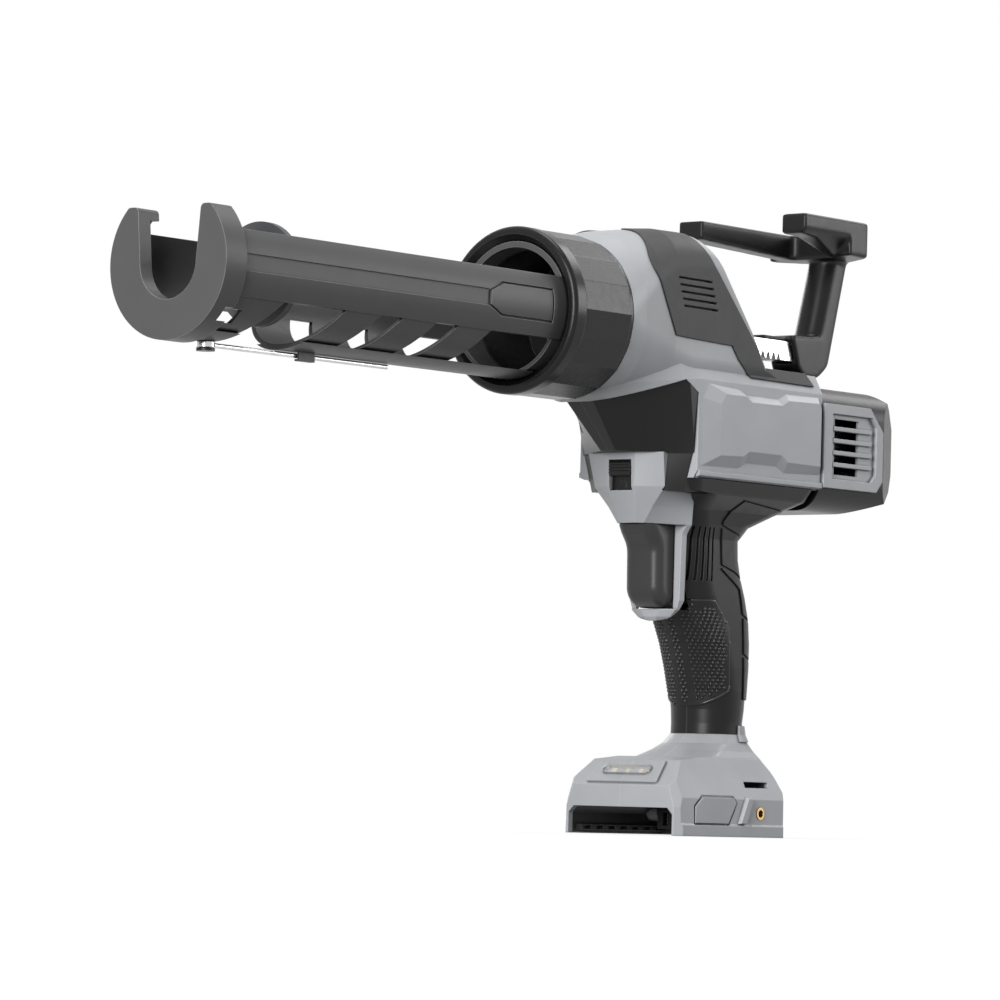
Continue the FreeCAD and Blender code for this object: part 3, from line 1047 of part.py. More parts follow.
wing_far = prism_yz([(arm_in, GRIP_Z - 6.0), (GRIP_HALF + 1.0, GRIP_Z - 6.0),
                     (GRIP_HALF + 1.0, GRIP_Z + 3.6)], 10.0, 92.0)
wing_near = prism_yz([(-arm_in, GRIP_Z - 6.0), (-GRIP_HALF - 1.0, GRIP_Z - 6.0),
                      (-GRIP_HALF - 1.0, GRIP_Z + 8.6)], 10.0, 84.0)
fork = fork.cut(wing_far).cut(wing_near)
pull_handle = fused([base, tongue, fork])
rack_socket = box(60.0, RACK_REAR, -RACK_HALF, RACK_HALF, RACK_TIP_Z, rack_top_z)
PIN_COVER = 1.2          # the pin stops this far inside the left face
link_pin = rod_y(PIN_R, -POST_HALF + PIN_COVER, POST_HALF, PIN_X, PIN_Z)
pull_handle = pull_handle.cut(rack_socket).cut(link_pin)
keep("pull_handle", pull_handle)
keep("handle_pin", link_pin)


# Drive: gear case with the rack's channel, pinion in bearings, motor with fan

case_top = AXIS_Z + 8.0
case_low = PINION_Z - PINION_PITCH_R - 4.0
CASE_REAR = -5.0
GUIDE_LONG = 7.0
case = fused([box(PLATE_REAR, CASE_REAR, -CASE_HALF, CASE_HALF, case_low + 6.0, case_top),
              box(-31.5, CASE_REAR, -CASE_HALF, CASE_HALF, MOTOR_Z, case_low + 7.0),
              rod_x(MOTOR_R + 0.6, -31.5 + WALL + 1.0, MOTOR_FRONT, 0.0, MOTOR_Z)])
case = case.cut(box(PLATE_REAR - 1.0, CASE_REAR + 1.0, -RACK_HALF - 0.8, RACK_HALF + 0.8, RACK_TIP_Z - 0.8,
                    rack_top_z + 0.8))
GUIDE_HALF = 9.0
guide_room = box(CASE_REAR - GUIDE_LONG, CASE_REAR + 1.0, -GUIDE_HALF, GUIDE_HALF, RACK_TIP_Z - 3.0,
                 rack_top_z + 3.0)
case = case.cut(guide_room)
PINION_FACE = RACK_HALF - 0.4
pinion_tip_r = PINION_PITCH_R + MODULE
case = case.cut(rod_y(pinion_tip_r + 0.8, -PINION_FACE - 0.8, PINION_FACE + 0.8, PINION_X, PINION_Z))
case = case.cut(rod_y(PINION_R_SHAFT + 0.6, -CASE_HALF - 1.0, CASE_HALF + 1.0, PINION_X, PINION_Z))
for y0 in (-CASE_HALF - 1.0, CASE_HALF - BEARING_T):
    case = case.cut(rod_y(BEARING_R, y0, y0 + BEARING_T + 1.0, PINION_X, PINION_Z))
keep("gear_case", case)
rear_guide = box(CASE_REAR - GUIDE_LONG, CASE_REAR, -GUIDE_HALF, GUIDE_HALF, RACK_TIP_Z - 3.0,
                 rack_top_z + 3.0).cut(rack_hole)
keep("rear_guide", rear_guide)
bearing = rod_y(BEARING_R, CASE_HALF - BEARING_T, CASE_HALF, PINION_X, PINION_Z)
bearing = bearing.cut(rod_y(PINION_R_SHAFT + SHAFT_GAP, 0.0, CASE_HALF + 1.0, PINION_X, PINION_Z))
keep("left_pinion_bearing", mirrored(bearing))
keep("right_pinion_bearing", bearing)


def involute(base_r, r):
    angle = math.sqrt((r / base_r) ** 2 - 1.0)
    return angle - math.atan(angle)


def pinion_outline():
    """Involute teeth, with a tooth gap at the top where a rack tooth sits."""
    base_r = PINION_PITCH_R * math.cos(PRESSURE)
    root_r = PINION_PITCH_R - RACK_ADDENDUM - 0.3
    half_tooth = (PITCH / 2 - BACKLASH) / 2 / PINION_PITCH_R
    steps = 4
    radii = [base_r + (pinion_tip_r - base_r) * k / steps for k in range(steps + 1)]
    points = []
    for i in range(PINION_TEETH):
        middle = math.pi / 2 + 2 * math.pi * (i + 0.5) / PINION_TEETH
        spans = [half_tooth + involute(base_r, PINION_PITCH_R) - involute(base_r, r) for r in radii]
        flank = [(root_r, spans[0])] + list(zip(radii, spans))
        for r, span in flank:
            points.append((PINION_X + r * math.cos(middle - span), PINION_Z + r * math.sin(middle - span)))
        for r, span in reversed(flank):
            points.append((PINION_X + r * math.cos(middle + span), PINION_Z + r * math.sin(middle + span)))
    return points


pinion = prism_xz(pinion_outline(), -PINION_FACE, PINION_FACE)
pinion = fused([pinion, rod_y(PINION_R_SHAFT, -CASE_HALF, CASE_HALF, PINION_X, PINION_Z)])
keep("drive_pinion", pinion)
MOTOR_REAR = MOTOR_FRONT + MOTOR_LONG
motor = rod_x(MOTOR_R, MOTOR_FRONT, MOTOR_REAR, 0.0, MOTOR_Z)
motor = motor.cut(rod_x(ROTOR_R + SHAFT_GAP, MOTOR_REAR - 12.0, MOTOR_REAR + 1.0, 0.0, MOTOR_Z))
keep("motor", motor)
keep("rotor_shaft", rod_x(ROTOR_R, MOTOR_REAR - 11.5, BALL_FRONT + BALL_T, 0.0, MOTOR_Z))
ball = rod_x(BALL_R, BALL_FRONT, BALL_FRONT + BALL_T, 0.0, MOTOR_Z)
keep("rotor_bearing", ball.cut(rod_x(ROTOR_R + SHAFT_GAP, BALL_FRONT - 1.0, BALL_FRONT + BALL_T + 1.0, 0.0,
                                     MOTOR_Z)))
FAN_BLADES = 9
fan = fused([rod_x(FAN_R, FAN_FRONT, FAN_FRONT + 1.6, 0.0, MOTOR_Z),
             rod_x(6.0, FAN_FRONT, FAN_FRONT + FAN_T, 0.0, MOTOR_Z)])
for i in range(FAN_BLADES):
    blade = box(FAN_FRONT + 1.0, FAN_FRONT + FAN_T, 5.5, FAN_R - 0.4, MOTOR_Z - 0.7, MOTOR_Z + 0.7)
    blade.rotate(V(0, 0, MOTOR_Z), V(1, 0, 0), 360.0 * i / FAN_BLADES)
    fan = fan.fuse(blade)
fan = fan.cut(rod_x(ROTOR_R, FAN_FRONT - 1.0, FAN_FRONT + FAN_T + 1.0, 0.0, MOTOR_Z)).removeSplitter()
keep("cooling_fan", fan)

whole = Part.makeCompound(list(NODES.values()))
size = whole.BoundBox
print("box x %.1f..%.1f y %.1f..%.1f z %.1f..%.1f" % (size.XMin, size.XMax, size.YMin, size.YMax, size.ZMin,
                                                      size.ZMax))
print("pinion at", round(PINION_X, 2), round(PINION_Z, 2), "nodes", len(NODES))
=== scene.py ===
# %% [markdown]
# # A cordless caulking tool, dressed over its CAD model
# The CAD model gives every rigid piece its true size and place. This lesson loads it, sets up
# the camera, the light and the floor, gives each piece its finish, and then adds the small
# details that are easier to make as meshes than as CAD solids.

# %% Load the frame
import math

import bmesh
import bpy
from mathutils import Matrix, Vector
from mathutils.bvhtree import BVHTree


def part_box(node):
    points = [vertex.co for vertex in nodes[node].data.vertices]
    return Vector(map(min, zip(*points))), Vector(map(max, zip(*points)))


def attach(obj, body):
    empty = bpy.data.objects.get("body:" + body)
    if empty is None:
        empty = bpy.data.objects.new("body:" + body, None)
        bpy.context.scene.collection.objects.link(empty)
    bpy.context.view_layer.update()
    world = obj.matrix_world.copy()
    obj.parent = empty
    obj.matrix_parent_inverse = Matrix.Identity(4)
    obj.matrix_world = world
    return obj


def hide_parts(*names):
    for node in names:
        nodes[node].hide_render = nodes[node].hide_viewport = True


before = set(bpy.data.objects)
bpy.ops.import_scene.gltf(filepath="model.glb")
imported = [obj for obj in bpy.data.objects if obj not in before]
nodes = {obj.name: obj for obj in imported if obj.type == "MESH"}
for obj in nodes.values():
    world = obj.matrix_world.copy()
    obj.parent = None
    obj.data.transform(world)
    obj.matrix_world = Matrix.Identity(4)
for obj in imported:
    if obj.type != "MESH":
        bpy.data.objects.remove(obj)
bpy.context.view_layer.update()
MM = 0.001

# %% [markdown]
# ## Camera
# The photograph was taken from the front left with a long lens, almost level with the ground.
# The place, the turn and the small roll were found by matching known points of the model to
# the picture. A long lens far away keeps lines nearly parallel, as product pictures do.

# %% Camera at the photograph's angle
CAMERA_PLACE = Vector((-1800.3, -1366.6, 12.0)) * MM
CAMERA_TURN = math.radians(-50.823)
CAMERA_TILT = math.radians(-3.262)
CAMERA_ROLL = math.radians(1.576)
CAMERA_LENS = 190.8      # focal length in millimetres
SENSOR_WIDE = 36.0       # millimetres
FAR_CLIP = 50.0          # metres, well past the floor's edge

back = Vector((math.sin(CAMERA_TURN) * math.cos(CAMERA_TILT),
               -math.cos(CAMERA_TURN) * math.cos(CAMERA_TILT),
               math.sin(CAMERA_TILT)))
level_right = (-back).cross(Vector((0, 0, 1))).normalized()
level_up = level_right.cross(-back)
right = math.cos(CAMERA_ROLL) * level_right + math.sin(CAMERA_ROLL) * level_up
up = math.cos(CAMERA_ROLL) * level_up - math.sin(CAMERA_ROLL) * level_right

camera_data = bpy.data.cameras.new("camera")
camera_data.lens = CAMERA_LENS
camera_data.sensor_width = SENSOR_WIDE
camera_data.clip_end = FAR_CLIP
camera = bpy.data.objects.new("camera", camera_data)
camera.matrix_world = Matrix((right, up, back)).transposed().to_4x4()
camera.location = CAMERA_PLACE
bpy.context.scene.collection.objects.link(camera)
bpy.context.scene.camera = camera
print("camera looks along", [round(v, 3) for v in -back])

# %% [markdown]
# ## White studio
# The tool stands on plain white with hardly any horizon. Strong white light from all round
# would wash the tool out, so the world is plain white only where the camera, a reflection or
# the clear lens looks straight at it, and faint where it lights the tool. The undersides stay
# dark that way. The Light Path node tells these rays apart.

# %% World and view
AMBIENT = 0.06           # the world's strength where it lights the tool
WHITE = (1.0, 1.0, 1.0, 1.0)
scene = bpy.context.scene
scene.view_settings.view_transform = "Standard"


def between(tree, value, low, high, start=0.3, end=0.7):
    """Map a value from the range start to end onto low to high; most noise lies in 0.3 to 0.7."""
    ranged = tree.nodes.new("ShaderNodeMapRange")
    ranged.inputs["From Min"].default_value = start
    ranged.inputs["From Max"].default_value = end
    ranged.inputs["To Min"].default_value = low
    ranged.inputs["To Max"].default_value = high
    tree.links.new(value, ranged.inputs["Value"])
    return ranged.outputs["Result"]


def seen_directly(tree):
    """1 for rays of the camera, of a reflection or through something clear, otherwise 0."""
    light_path = tree.nodes.new("ShaderNodeLightPath")
    seen = light_path.outputs["Is Camera Ray"]
    for kind in ("Is Glossy Ray", "Is Transmission Ray"):
        either = tree.nodes.new("ShaderNodeMath")
        either.operation = "MAXIMUM"
        tree.links.new(seen, either.inputs[0])
        tree.links.new(light_path.outputs[kind], either.inputs[1])
        seen = either.outputs[0]
    return seen


world = bpy.data.worlds.new("studio")
world.use_nodes = True
scene.world = world
sky_tree = world.node_tree
sky = sky_tree.nodes["Background"]
sky.inputs["Color"].default_value = WHITE
strength = between(sky_tree, seen_directly(sky_tree), AMBIENT, 1.0, start=0.0, end=1.0)
sky_tree.links.new(strength, sky.inputs["Strength"])
print("world set, ambient", AMBIENT)

# %% [markdown]
# ## Floor
# The floor takes the tool's soft shadow and is otherwise as white as the world. White paint
# would throw light back at the undersides, so the paint is a dull grey, and a glow that only
# direct looks can see lifts it to white. The lamps fade away from the tool, so the glow grows
# there to make up for them.

# %% Floor
FLOOR_HALF = 6.0         # metres
FLOOR_DROP = 0.3 * MM    # keeps the floor clear of the foot's underside
FLOOR_GREY = (0.15, 0.15, 0.15, 1.0)
FLOOR_ROUGH = 0.9
GLOW_NEAR = 0.87         # what a direct look at the floor gets without any lamp, near the tool
GLOW_FAR = 1.0           # and far from it, where the lamps fade
GLOW_REACH = (0.25, 0.9)  # metres from the middle where the change starts and ends
SQUARE = ((-1, -1), (1, -1), (1, 1), (-1, 1))


def new_finish(name):
    """A new node material: itself, its tree and its main shader."""
    material = bpy.data.materials.new(name)
    material.use_nodes = True
    return material, material.node_tree, material.node_tree.nodes["Principled BSDF"]


def glowing_floor(name):
    """A dull grey that shows white to direct looks and keeps the tool's shadow."""
    material, tree, paint = new_finish(name)
    paint.inputs["Base Color"].default_value = FLOOR_GREY
    paint.inputs["Roughness"].default_value = FLOOR_ROUGH
    paint.inputs["Specular IOR Level"].default_value = 0.0
    paint.inputs["Emission Color"].default_value = WHITE
    where = tree.nodes.new("ShaderNodeTexCoord")
    away = tree.nodes.new("ShaderNodeVectorMath")
    away.operation = "LENGTH"
    tree.links.new(where.outputs["Object"], away.inputs[0])
    glow = tree.nodes.new("ShaderNodeMath")
    glow.operation = "MULTIPLY"
    tree.links.new(seen_directly(tree), glow.inputs[0])
    tree.links.new(between(tree, away.outputs["Value"], GLOW_NEAR, GLOW_FAR, *GLOW_REACH), glow.inputs[1])
    tree.links.new(glow.outputs[0], paint.inputs["Emission Strength"])
    return material


floor_mesh = bpy.data.meshes.new("floor")
floor_mesh.from_pydata([(a * FLOOR_HALF, b * FLOOR_HALF, 0) for a, b in SQUARE], [], [(0, 1, 2, 3)])
floor_mesh.materials.append(glowing_floor("white_floor"))
floor = bpy.data.objects.new("floor", floor_mesh)
floor.location.z = -FLOOR_DROP
scene.collection.objects.link(floor)
print("floor", 2 * FLOOR_HALF, "m wide")

# %% [markdown]
# ## Light
# The photograph's highlights tell where its lamps were: a face shows a lamp that stands in the
# mirror direction of the camera. The rounded corners between the nose side and the near side
# shine, so the main softbox is in front. Faces towards the near side shine softly, so one is
# behind on the near side, and a high one behind draws the collar's upper facets. One overhead
# lightens the roof, and one on the far side is for views from there. Wide lamps give the soft
# plastic sheen.

# %% Softboxes
AIM = Vector((-60.0, 0.0, 170.0)) * MM


def softbox(name, place, wide, tall, watts):
    """A rectangular area lamp at place, in metres, turned to face the tool."""
    lamp = bpy.data.lights.new(name, "AREA")
    lamp.shape = "RECTANGLE"
    lamp.size = wide
    lamp.size_y = tall
    lamp.energy = watts
    holder = bpy.data.objects.new(name, lamp)
    holder.location = place
    holder.rotation_euler = (AIM - Vector(place)).to_track_quat("-Z", "Y").to_euler()
    scene.collection.objects.link(holder)
    print("softbox", name, watts, "W")


softbox("front_light", (-1.65, -0.40, 0.60), wide=0.7, tall=1.2, watts=36.0)
softbox("side_light", (1.20, -1.15, 0.60), wide=0.8, tall=0.6, watts=10.0)
softbox("collar_light", (1.15, -0.10, 1.15), wide=0.6, tall=0.6, watts=5.0)
softbox("roof_light", (-0.10, 0.05, 1.55), wide=1.0, tall=0.5, watts=9.0)
softbox("far_light", (0.70, 1.60, 0.70), wide=0.8, tall=0.8, watts=8.0)

# %% [markdown]
# ## Uneven colour
# No moulded or handled surface is one flat colour. A photograph of a surface could be wrapped
# round each piece, but a noise pattern in the piece's own frame needs no picture and no
# unwrapping, moves with the piece, and takes the size of its lumps in millimetres.

# %% Helpers: noise and colours
MIX_FIRST = 6            # the Mix node has sockets for each kind of value: these are for colours
MIX_SECOND = 7
MIX_RESULT = 2


def noise(tree, size_mm, detail=3.0, stretch=(1.0, 1.0, 1.0)):
    """Noise in the piece's own frame, with lumps of about size_mm."""
    where = tree.nodes.new("ShaderNodeTexCoord")
    scale = tree.nodes.new("ShaderNodeMapping")
    scale.inputs["Scale"].default_value = stretch
    pattern = tree.nodes.new("ShaderNodeTexNoise")
    pattern.inputs["Scale"].default_value = 1.0 / (size_mm * MM)
    pattern.inputs["Detail"].default_value = detail
    tree.links.new(where.outputs["Object"], scale.inputs["Vector"])
    tree.links.new(scale.outputs["Vector"], pattern.inputs["Vector"])
    return pattern.outputs["Fac"]


def scaled(colour, gain, lift=0.0):
    """A colour times gain plus lift, and no brighter than white."""
    return tuple(min(1.0, c * gain + lift) for c in colour)


def blend_colours(tree, mask, first, second):
    """A colour that goes from first to second with the mask; either may be a socket."""
    mix = tree.nodes.new("ShaderNodeMix")
    mix.data_type = "RGBA"
    tree.links.new(mask, mix.inputs["Factor"])
    for socket, colour in ((mix.inputs[MIX_FIRST], first), (mix.inputs[MIX_SECOND], second)):
        if isinstance(colour, tuple):
            socket.default_value = colour + (1.0,)
        else:
            tree.links.new(colour, socket)
    return mix.outputs[MIX_RESULT]


print("noise and colour helpers ready")

# %% [markdown]
# ## Edges that catch the light
# Real edges are never quite sharp: each has a small rounding that takes a highlight, and is
# paler where hands rub it. Rounding every edge of the meshes would take very many faces, so the
# Bevel node rounds them in shading alone. The angle between its normal and the true one is
# also a mask for paler edges: painted highlight along each edge, as well as some wear.

# %% Helper: rounded edges
EDGE_SAMPLES = 6
EDGE_COSINES = (0.80, 0.995)  # between the two normals, on a fully highlighted and worn edge and on a plain face


def rounded_edges(tree, radius_mm):
    """Normals as if each edge were rounded, and a mask that is 1 on those edges."""
    bevel = tree.nodes.new("ShaderNodeBevel")
    bevel.samples = EDGE_SAMPLES
    bevel.inputs["Radius"].default_value = radius_mm * MM
    surface = tree.nodes.new("ShaderNodeNewGeometry")
    dot = tree.nodes.new("ShaderNodeVectorMath")
    dot.operation = "DOT_PRODUCT"
    tree.links.new(bevel.outputs["Normal"], dot.inputs[0])
    tree.links.new(surface.outputs["Normal"], dot.inputs[1])
    mask = between(tree, dot.outputs["Value"], 1.0, 0.0, *EDGE_COSINES)
    return bevel.outputs["Normal"], mask


print("edge helper ready, with", EDGE_SAMPLES, "samples")

# %% [markdown]
# ## Grain, and painted shade in seams
# The moulds are spark-eroded, which leaves a fine even grain on the plastic. Seams and inner
# corners get painted shade: their colour is darkened where they are closed in. The grain is much
# too fine for geometry, so it is bump on top of the rounded edges. An Ambient Occlusion node that
# looks only about a millimetre around finds the seams for that painted shade.

# %% Helpers: grain, seams and sockets
SEAM_SAMPLES = 4
SEAM_OPENNESS = (0.45, 0.90)  # share of free directions, in a seam and on an open face


def grain_bump(tree, height, depth_mm, normal=None):
    """Bump from a height value, on top of other normals."""
    bump = tree.nodes.new("ShaderNodeBump")
    bump.inputs["Strength"].default_value = 1.0
    bump.inputs["Distance"].default_value = depth_mm * MM
    tree.links.new(height, bump.inputs["Height"])
    if normal is not None:
        tree.links.new(normal, bump.inputs["Normal"])
    return bump.outputs["Normal"]


def seam_shade_mask(tree, reach_mm):
    """1 where shade is painted: in seams and inner corners closed in within reach_mm; otherwise 0."""
    near = tree.nodes.new("ShaderNodeAmbientOcclusion")
    near.samples = SEAM_SAMPLES
    near.inputs["Distance"].default_value = reach_mm * MM
    return between(tree, near.outputs["AO"], 1.0, 0.0, *SEAM_OPENNESS)


def feed(tree, shader, colour=None, rough=None, normal=None):
    """Link what a recipe worked out to the shader's sockets."""
    for socket, value in (("Base Color", colour), ("Roughness", rough), ("Normal", normal)):
        if value is not None:
            tree.links.new(value, shader.inputs[socket])


print("grain and seam helpers ready")

# %% [markdown]
# ## Moulded plastic
# Nearly all of the outside is moulded plastic. Each colour could have a material of its own
# making, but one recipe serves them all and keeps them alike: a slightly uneven colour, paler
# edges with painted highlight and some wear, seams darkened with painted shade, a roughness that
# wanders a little, and the fine grain.

# %% Helper: moulded plastic
MOTTLE = 0.04            # how far the colour wanders, as a share of itself
MOTTLE_MM = 18.0
GLOSS_WANDER = 0.02      # how far the roughness wanders
GLOSS_MM = 4.0
EDGE_LIFT = 0.01         # painted highlight that edges gain beside their share, so that black ones show too
SEAM_SHADE_SHARE = 0.22             # share of the colour that is left in a seam: painted shade
SEAM_MM = 1.1


def moulded_plastic(name, colour, rough, grain_mm, depth_mm, edge_gain, edge_mm=0.5, shine=0.32):
    """Grained plastic: colour is linear, edge_gain is how much paler the edges are."""
    material, tree, shader = new_finish(name)
    normal, edges = rounded_edges(tree, edge_mm)
    mottle = between(tree, noise(tree, MOTTLE_MM), 0.0, 1.0)
    plain = blend_colours(tree, mottle, scaled(colour, 1.0 - MOTTLE), scaled(colour, 1.0 + MOTTLE))
    # Edges are paler: a painted highlight, with some wear.
    edge_highlight_and_wear = scaled(colour, 1.0 + edge_gain, EDGE_LIFT * edge_gain)
    edged = blend_colours(tree, edges, plain, edge_highlight_and_wear)
    # Seams and inner corners are darkened: painted shade.
    whole = blend_colours(tree, seam_shade_mask(tree, SEAM_MM), edged, scaled(colour, SEAM_SHADE_SHARE))
    gloss = between(tree, noise(tree, GLOSS_MM), rough - GLOSS_WANDER, rough + GLOSS_WANDER)
    grain = noise(tree, grain_mm, detail=2.0)
    feed(tree, shader, whole, gloss, grain_bump(tree, grain, depth_mm, normal))
    shader.inputs["Specular IOR Level"].default_value = shine
    return material


def dress(material, *names):
    """Give CAD nodes a finish in place of the one that they were packed with."""
    for name in names:
        mesh = nodes[name].data
        mesh.materials.clear()
        mesh.materials.append(material)
    print(material.name, "on", ", ".join(names))


print("plastic recipe ready, seams within", SEAM_MM, "mm")

# %% [markdown]
# ## The grey, dark and black plastics
# The gear and motor housing, the bezel, the vent panels and the foot are one cool light grey.
# The side covers are charcoal, and the chin, handle, lock, cap and pull handle are black. The
# trigger is black too, painted a little paler as a stand-in for the highlight on its front. One
# grey and one black would do from afar, but close up the sheen of each differs, so each has its
# own finish. Values are linear: 0.30 shows as a mid grey, 0.02 as a black that still has shape.

# %% Plastics of the outside
grey_plastic = moulded_plastic("grey_plastic", (0.400, 0.413, 0.432), rough=0.42,
                               grain_mm=0.45, depth_mm=0.010, edge_gain=0.45)
dark_plastic = moulded_plastic("dark_plastic", (0.058, 0.058, 0.059), rough=0.50,
                               grain_mm=0.50, depth_mm=0.012, edge_gain=0.9, shine=0.16)
black_plastic = moulded_plastic("black_plastic", (0.0085, 0.0085, 0.0088), rough=0.34,
                                grain_mm=0.50, depth_mm=0.012, edge_gain=3.0, shine=0.21)
# The trigger's black is painted paler: a painted highlight.
trigger_painted_highlight = moulded_plastic("trigger_painted_highlight", (0.030, 0.030, 0.0305), rough=0.36,
                                  grain_mm=0.50, depth_mm=0.012, edge_gain=1.2)
dress(grey_plastic, "left_housing", "right_housing", "left_vent_panel", "right_vent_panel",
      "trigger_bezel", "left_foot_shell", "right_foot_shell")
dress(dark_plastic, "left_cover", "right_cover")
dress(trigger_painted_highlight, "trigger")
dress(black_plastic, "motor_cap", "left_handle_shell", "right_handle_shell", "lock_slide",
      "pull_handle")

# %% [markdown]
# ## Barrel, collar and inner plastics
# The cradle and its nose are a satin dark grey, a little paler than the covers. The collar nut
# is black and shinier, so its flat grips take long clear highlights. Of the inner plastics,
# the rack's guides are pale, as acetal is, and the others are dark.

# %% Barrel, collar and inner plastics
# The high edge gains of these two paint a thin highlight round their edges.
barrel_satin = moulded_plastic("barrel_satin", (0.072, 0.072, 0.073), rough=0.40, grain_mm=0.35,
                               depth_mm=0.006, edge_gain=3.0, edge_mm=0.4, shine=0.20)
collar_satin = moulded_plastic("collar_satin", (0.008, 0.008, 0.0082), rough=0.27, grain_mm=0.40,
                               depth_mm=0.002, edge_gain=5.0, edge_mm=0.45, shine=0.20)
module_plastic = moulded_plastic("module_plastic", (0.014, 0.014, 0.015), rough=0.45, grain_mm=0.50,
                                 depth_mm=0.010, edge_gain=1.5, edge_mm=0.3)
acetal = moulded_plastic("acetal", (0.52, 0.51, 0.47), rough=0.35, grain_mm=0.60,
                         depth_mm=0.004, edge_gain=0.2, edge_mm=0.3)
piston_nylon = moulded_plastic("piston_nylon", (0.030, 0.031, 0.034), rough=0.38, grain_mm=0.45,
                               depth_mm=0.006, edge_gain=1.2, edge_mm=0.4)
fan_nylon = moulded_plastic("fan_nylon", (0.045, 0.046, 0.050), rough=0.42, grain_mm=0.50,
                            depth_mm=0.006, edge_gain=1.0, edge_mm=0.3)
dress(barrel_satin, "cradle")
dress(collar_satin, "collar_nut")
dress(module_plastic, "switch_module", "terminal_block", "battery_tray")
dress(acetal, "front_guide", "rear_guide")
dress(piston_nylon, "piston")
dress(fan_nylon, "cooling_fan")

# %% [markdown]
# ## Soft grip
# The sleeve and the pad behind it are a soft rubber: nearly black, with a little sheen at
# glancing angles and some dust in the grain. Its raised studs come later, as real geometry,
# and are polished by the hand, so they have a smoother finish of their own.

# %% Grip rubber
# The rubber's seams are darkened to this colour: painted shade.
SEAM_SHADE_COLOUR = (0.001, 0.001, 0.001)


def soft_rubber(name, colour, rough, shine):
    """Soft rubber: dust, edges paler with painted highlight and wear, painted shade in seams, fine grain."""
    material, tree, shader = new_finish(name)
    normal, edges = rounded_edges(tree, radius_mm=0.4)
    dust = between(tree, noise(tree, size_mm=9.0, detail=5.0), 0.0, 1.0, start=0.45, end=0.75)
    dusty = blend_colours(tree, dust, colour, scaled(colour, gain=1.5, lift=0.004))
    # Edges are paler: a painted highlight, with some wear.
    edged = blend_colours(tree, edges, dusty, scaled(colour, gain=3.0, lift=0.01))
    # Seams and inner corners are darkened: painted shade.
    whole = blend_colours(tree, seam_shade_mask(tree, reach_mm=0.9), edged, SEAM_SHADE_COLOUR)
    gloss = between(tree, noise(tree, size_mm=3.0), low=rough - 0.04, high=rough + 0.04)
    grain = noise(tree, size_mm=0.3)
    feed(tree, shader, whole, gloss, grain_bump(tree, grain, depth_mm=0.008, normal=normal))
    shader.inputs["Specular IOR Level"].default_value = shine
    shader.inputs["Sheen Weight"].default_value = 0.02
    shader.inputs["Sheen Roughness"].default_value = 0.5
    return material


grip_rubber = soft_rubber("grip_rubber", (0.009, 0.009, 0.0093), rough=0.41, shine=0.22)
stud_rubber = soft_rubber("stud_rubber", (0.012, 0.012, 0.0123), rough=0.28, shine=0.50)
dress(grip_rubber, "grip_sleeve", "back_pad")

# %% [markdown]
# ## Metals
# The rack, wire and pins are bright drawn steel, so their marks run along X, the way they
# were drawn. The flange and gear case are cast and tumbled, which leaves soft round lumps.
# Each metal differs in colour, in roughness and in the direction of its marks.

# %% Metal finishes
def metal(name, colour, rough, mark_mm, run, depth_mm):
    """Bare metal whose marks are noise of mark_mm, drawn out the way that they run."""
    material, tree, shader = new_finish(name)
    normal, edges = rounded_edges(tree, radius_mm=0.25)
    shade = between(tree, noise(tree, size_mm=6.0), 0.0, 1.0)
    plain = blend_colours(tree, shade, scaled(colour, gain=0.82), colour)
    # Edges are paler: a painted highlight, with some wear.
    whole = blend_colours(tree, edges, plain, scaled(colour, gain=1.15))
    marks = noise(tree, mark_mm, detail=4.0, stretch=run)
    gloss = between(tree, marks, low=rough * 0.8, high=rough * 1.25)
    feed(tree, shader, whole, gloss, grain_bump(tree, marks, depth_mm, normal))
    shader.inputs["Metallic"].default_value = 1.0
    return material


ALONG_X = (0.04, 1.0, 1.0)
ROUND = (1.0, 1.0, 1.0)
drawn_steel = metal("drawn_steel", (0.68, 0.68, 0.67), rough=0.26, mark_mm=0.5, run=ALONG_X, depth_mm=0.004)
cast_alloy = metal("cast_alloy", (0.55, 0.55, 0.54), rough=0.45, mark_mm=1.2, run=ROUND, depth_mm=0.030)
black_alloy = metal("black_alloy", (0.035, 0.035, 0.037), rough=0.38, mark_mm=0.8, run=ROUND, depth_mm=0.010)
ground_steel = metal("ground_steel", (0.58, 0.58, 0.59), rough=0.22, mark_mm=0.4, run=ROUND, depth_mm=0.002)
gear_steel = metal("gear_steel", (0.42, 0.41, 0.40), rough=0.34, mark_mm=0.6, run=ROUND, depth_mm=0.006)
plated_can = metal("plated_can", (0.48, 0.48, 0.47), rough=0.36, mark_mm=0.8, run=ALONG_X, depth_mm=0.006)
brass = metal("brass", (0.72, 0.50, 0.22), rough=0.28, mark_mm=0.6, run=ROUND, depth_mm=0.004)
dress(drawn_steel, "housing_screws", "puncture_wire", "rack_rod", "piston_nut", "handle_pin")
dress(cast_alloy, "gear_case")
dress(black_alloy, "nose_flange", "wire_rivet")
dress(ground_steel, "left_pinion_bearing", "right_pinion_bearing", "rotor_bearing")
dress(gear_steel, "drive_pinion", "rotor_shaft")
dress(plated_can, "motor")
dress(brass, "terminal_blades", "belt_hook_inserts")

# %% [markdown]
# ## Lens of the work light
# The work light has a clear lens that stands a little proud of the foot's sloping front. Fully
# clear plastic would look empty over a white board, so a part of the light stays on its
# surface, and a faint unevenness bends what is seen through it, as in a small moulded lens.

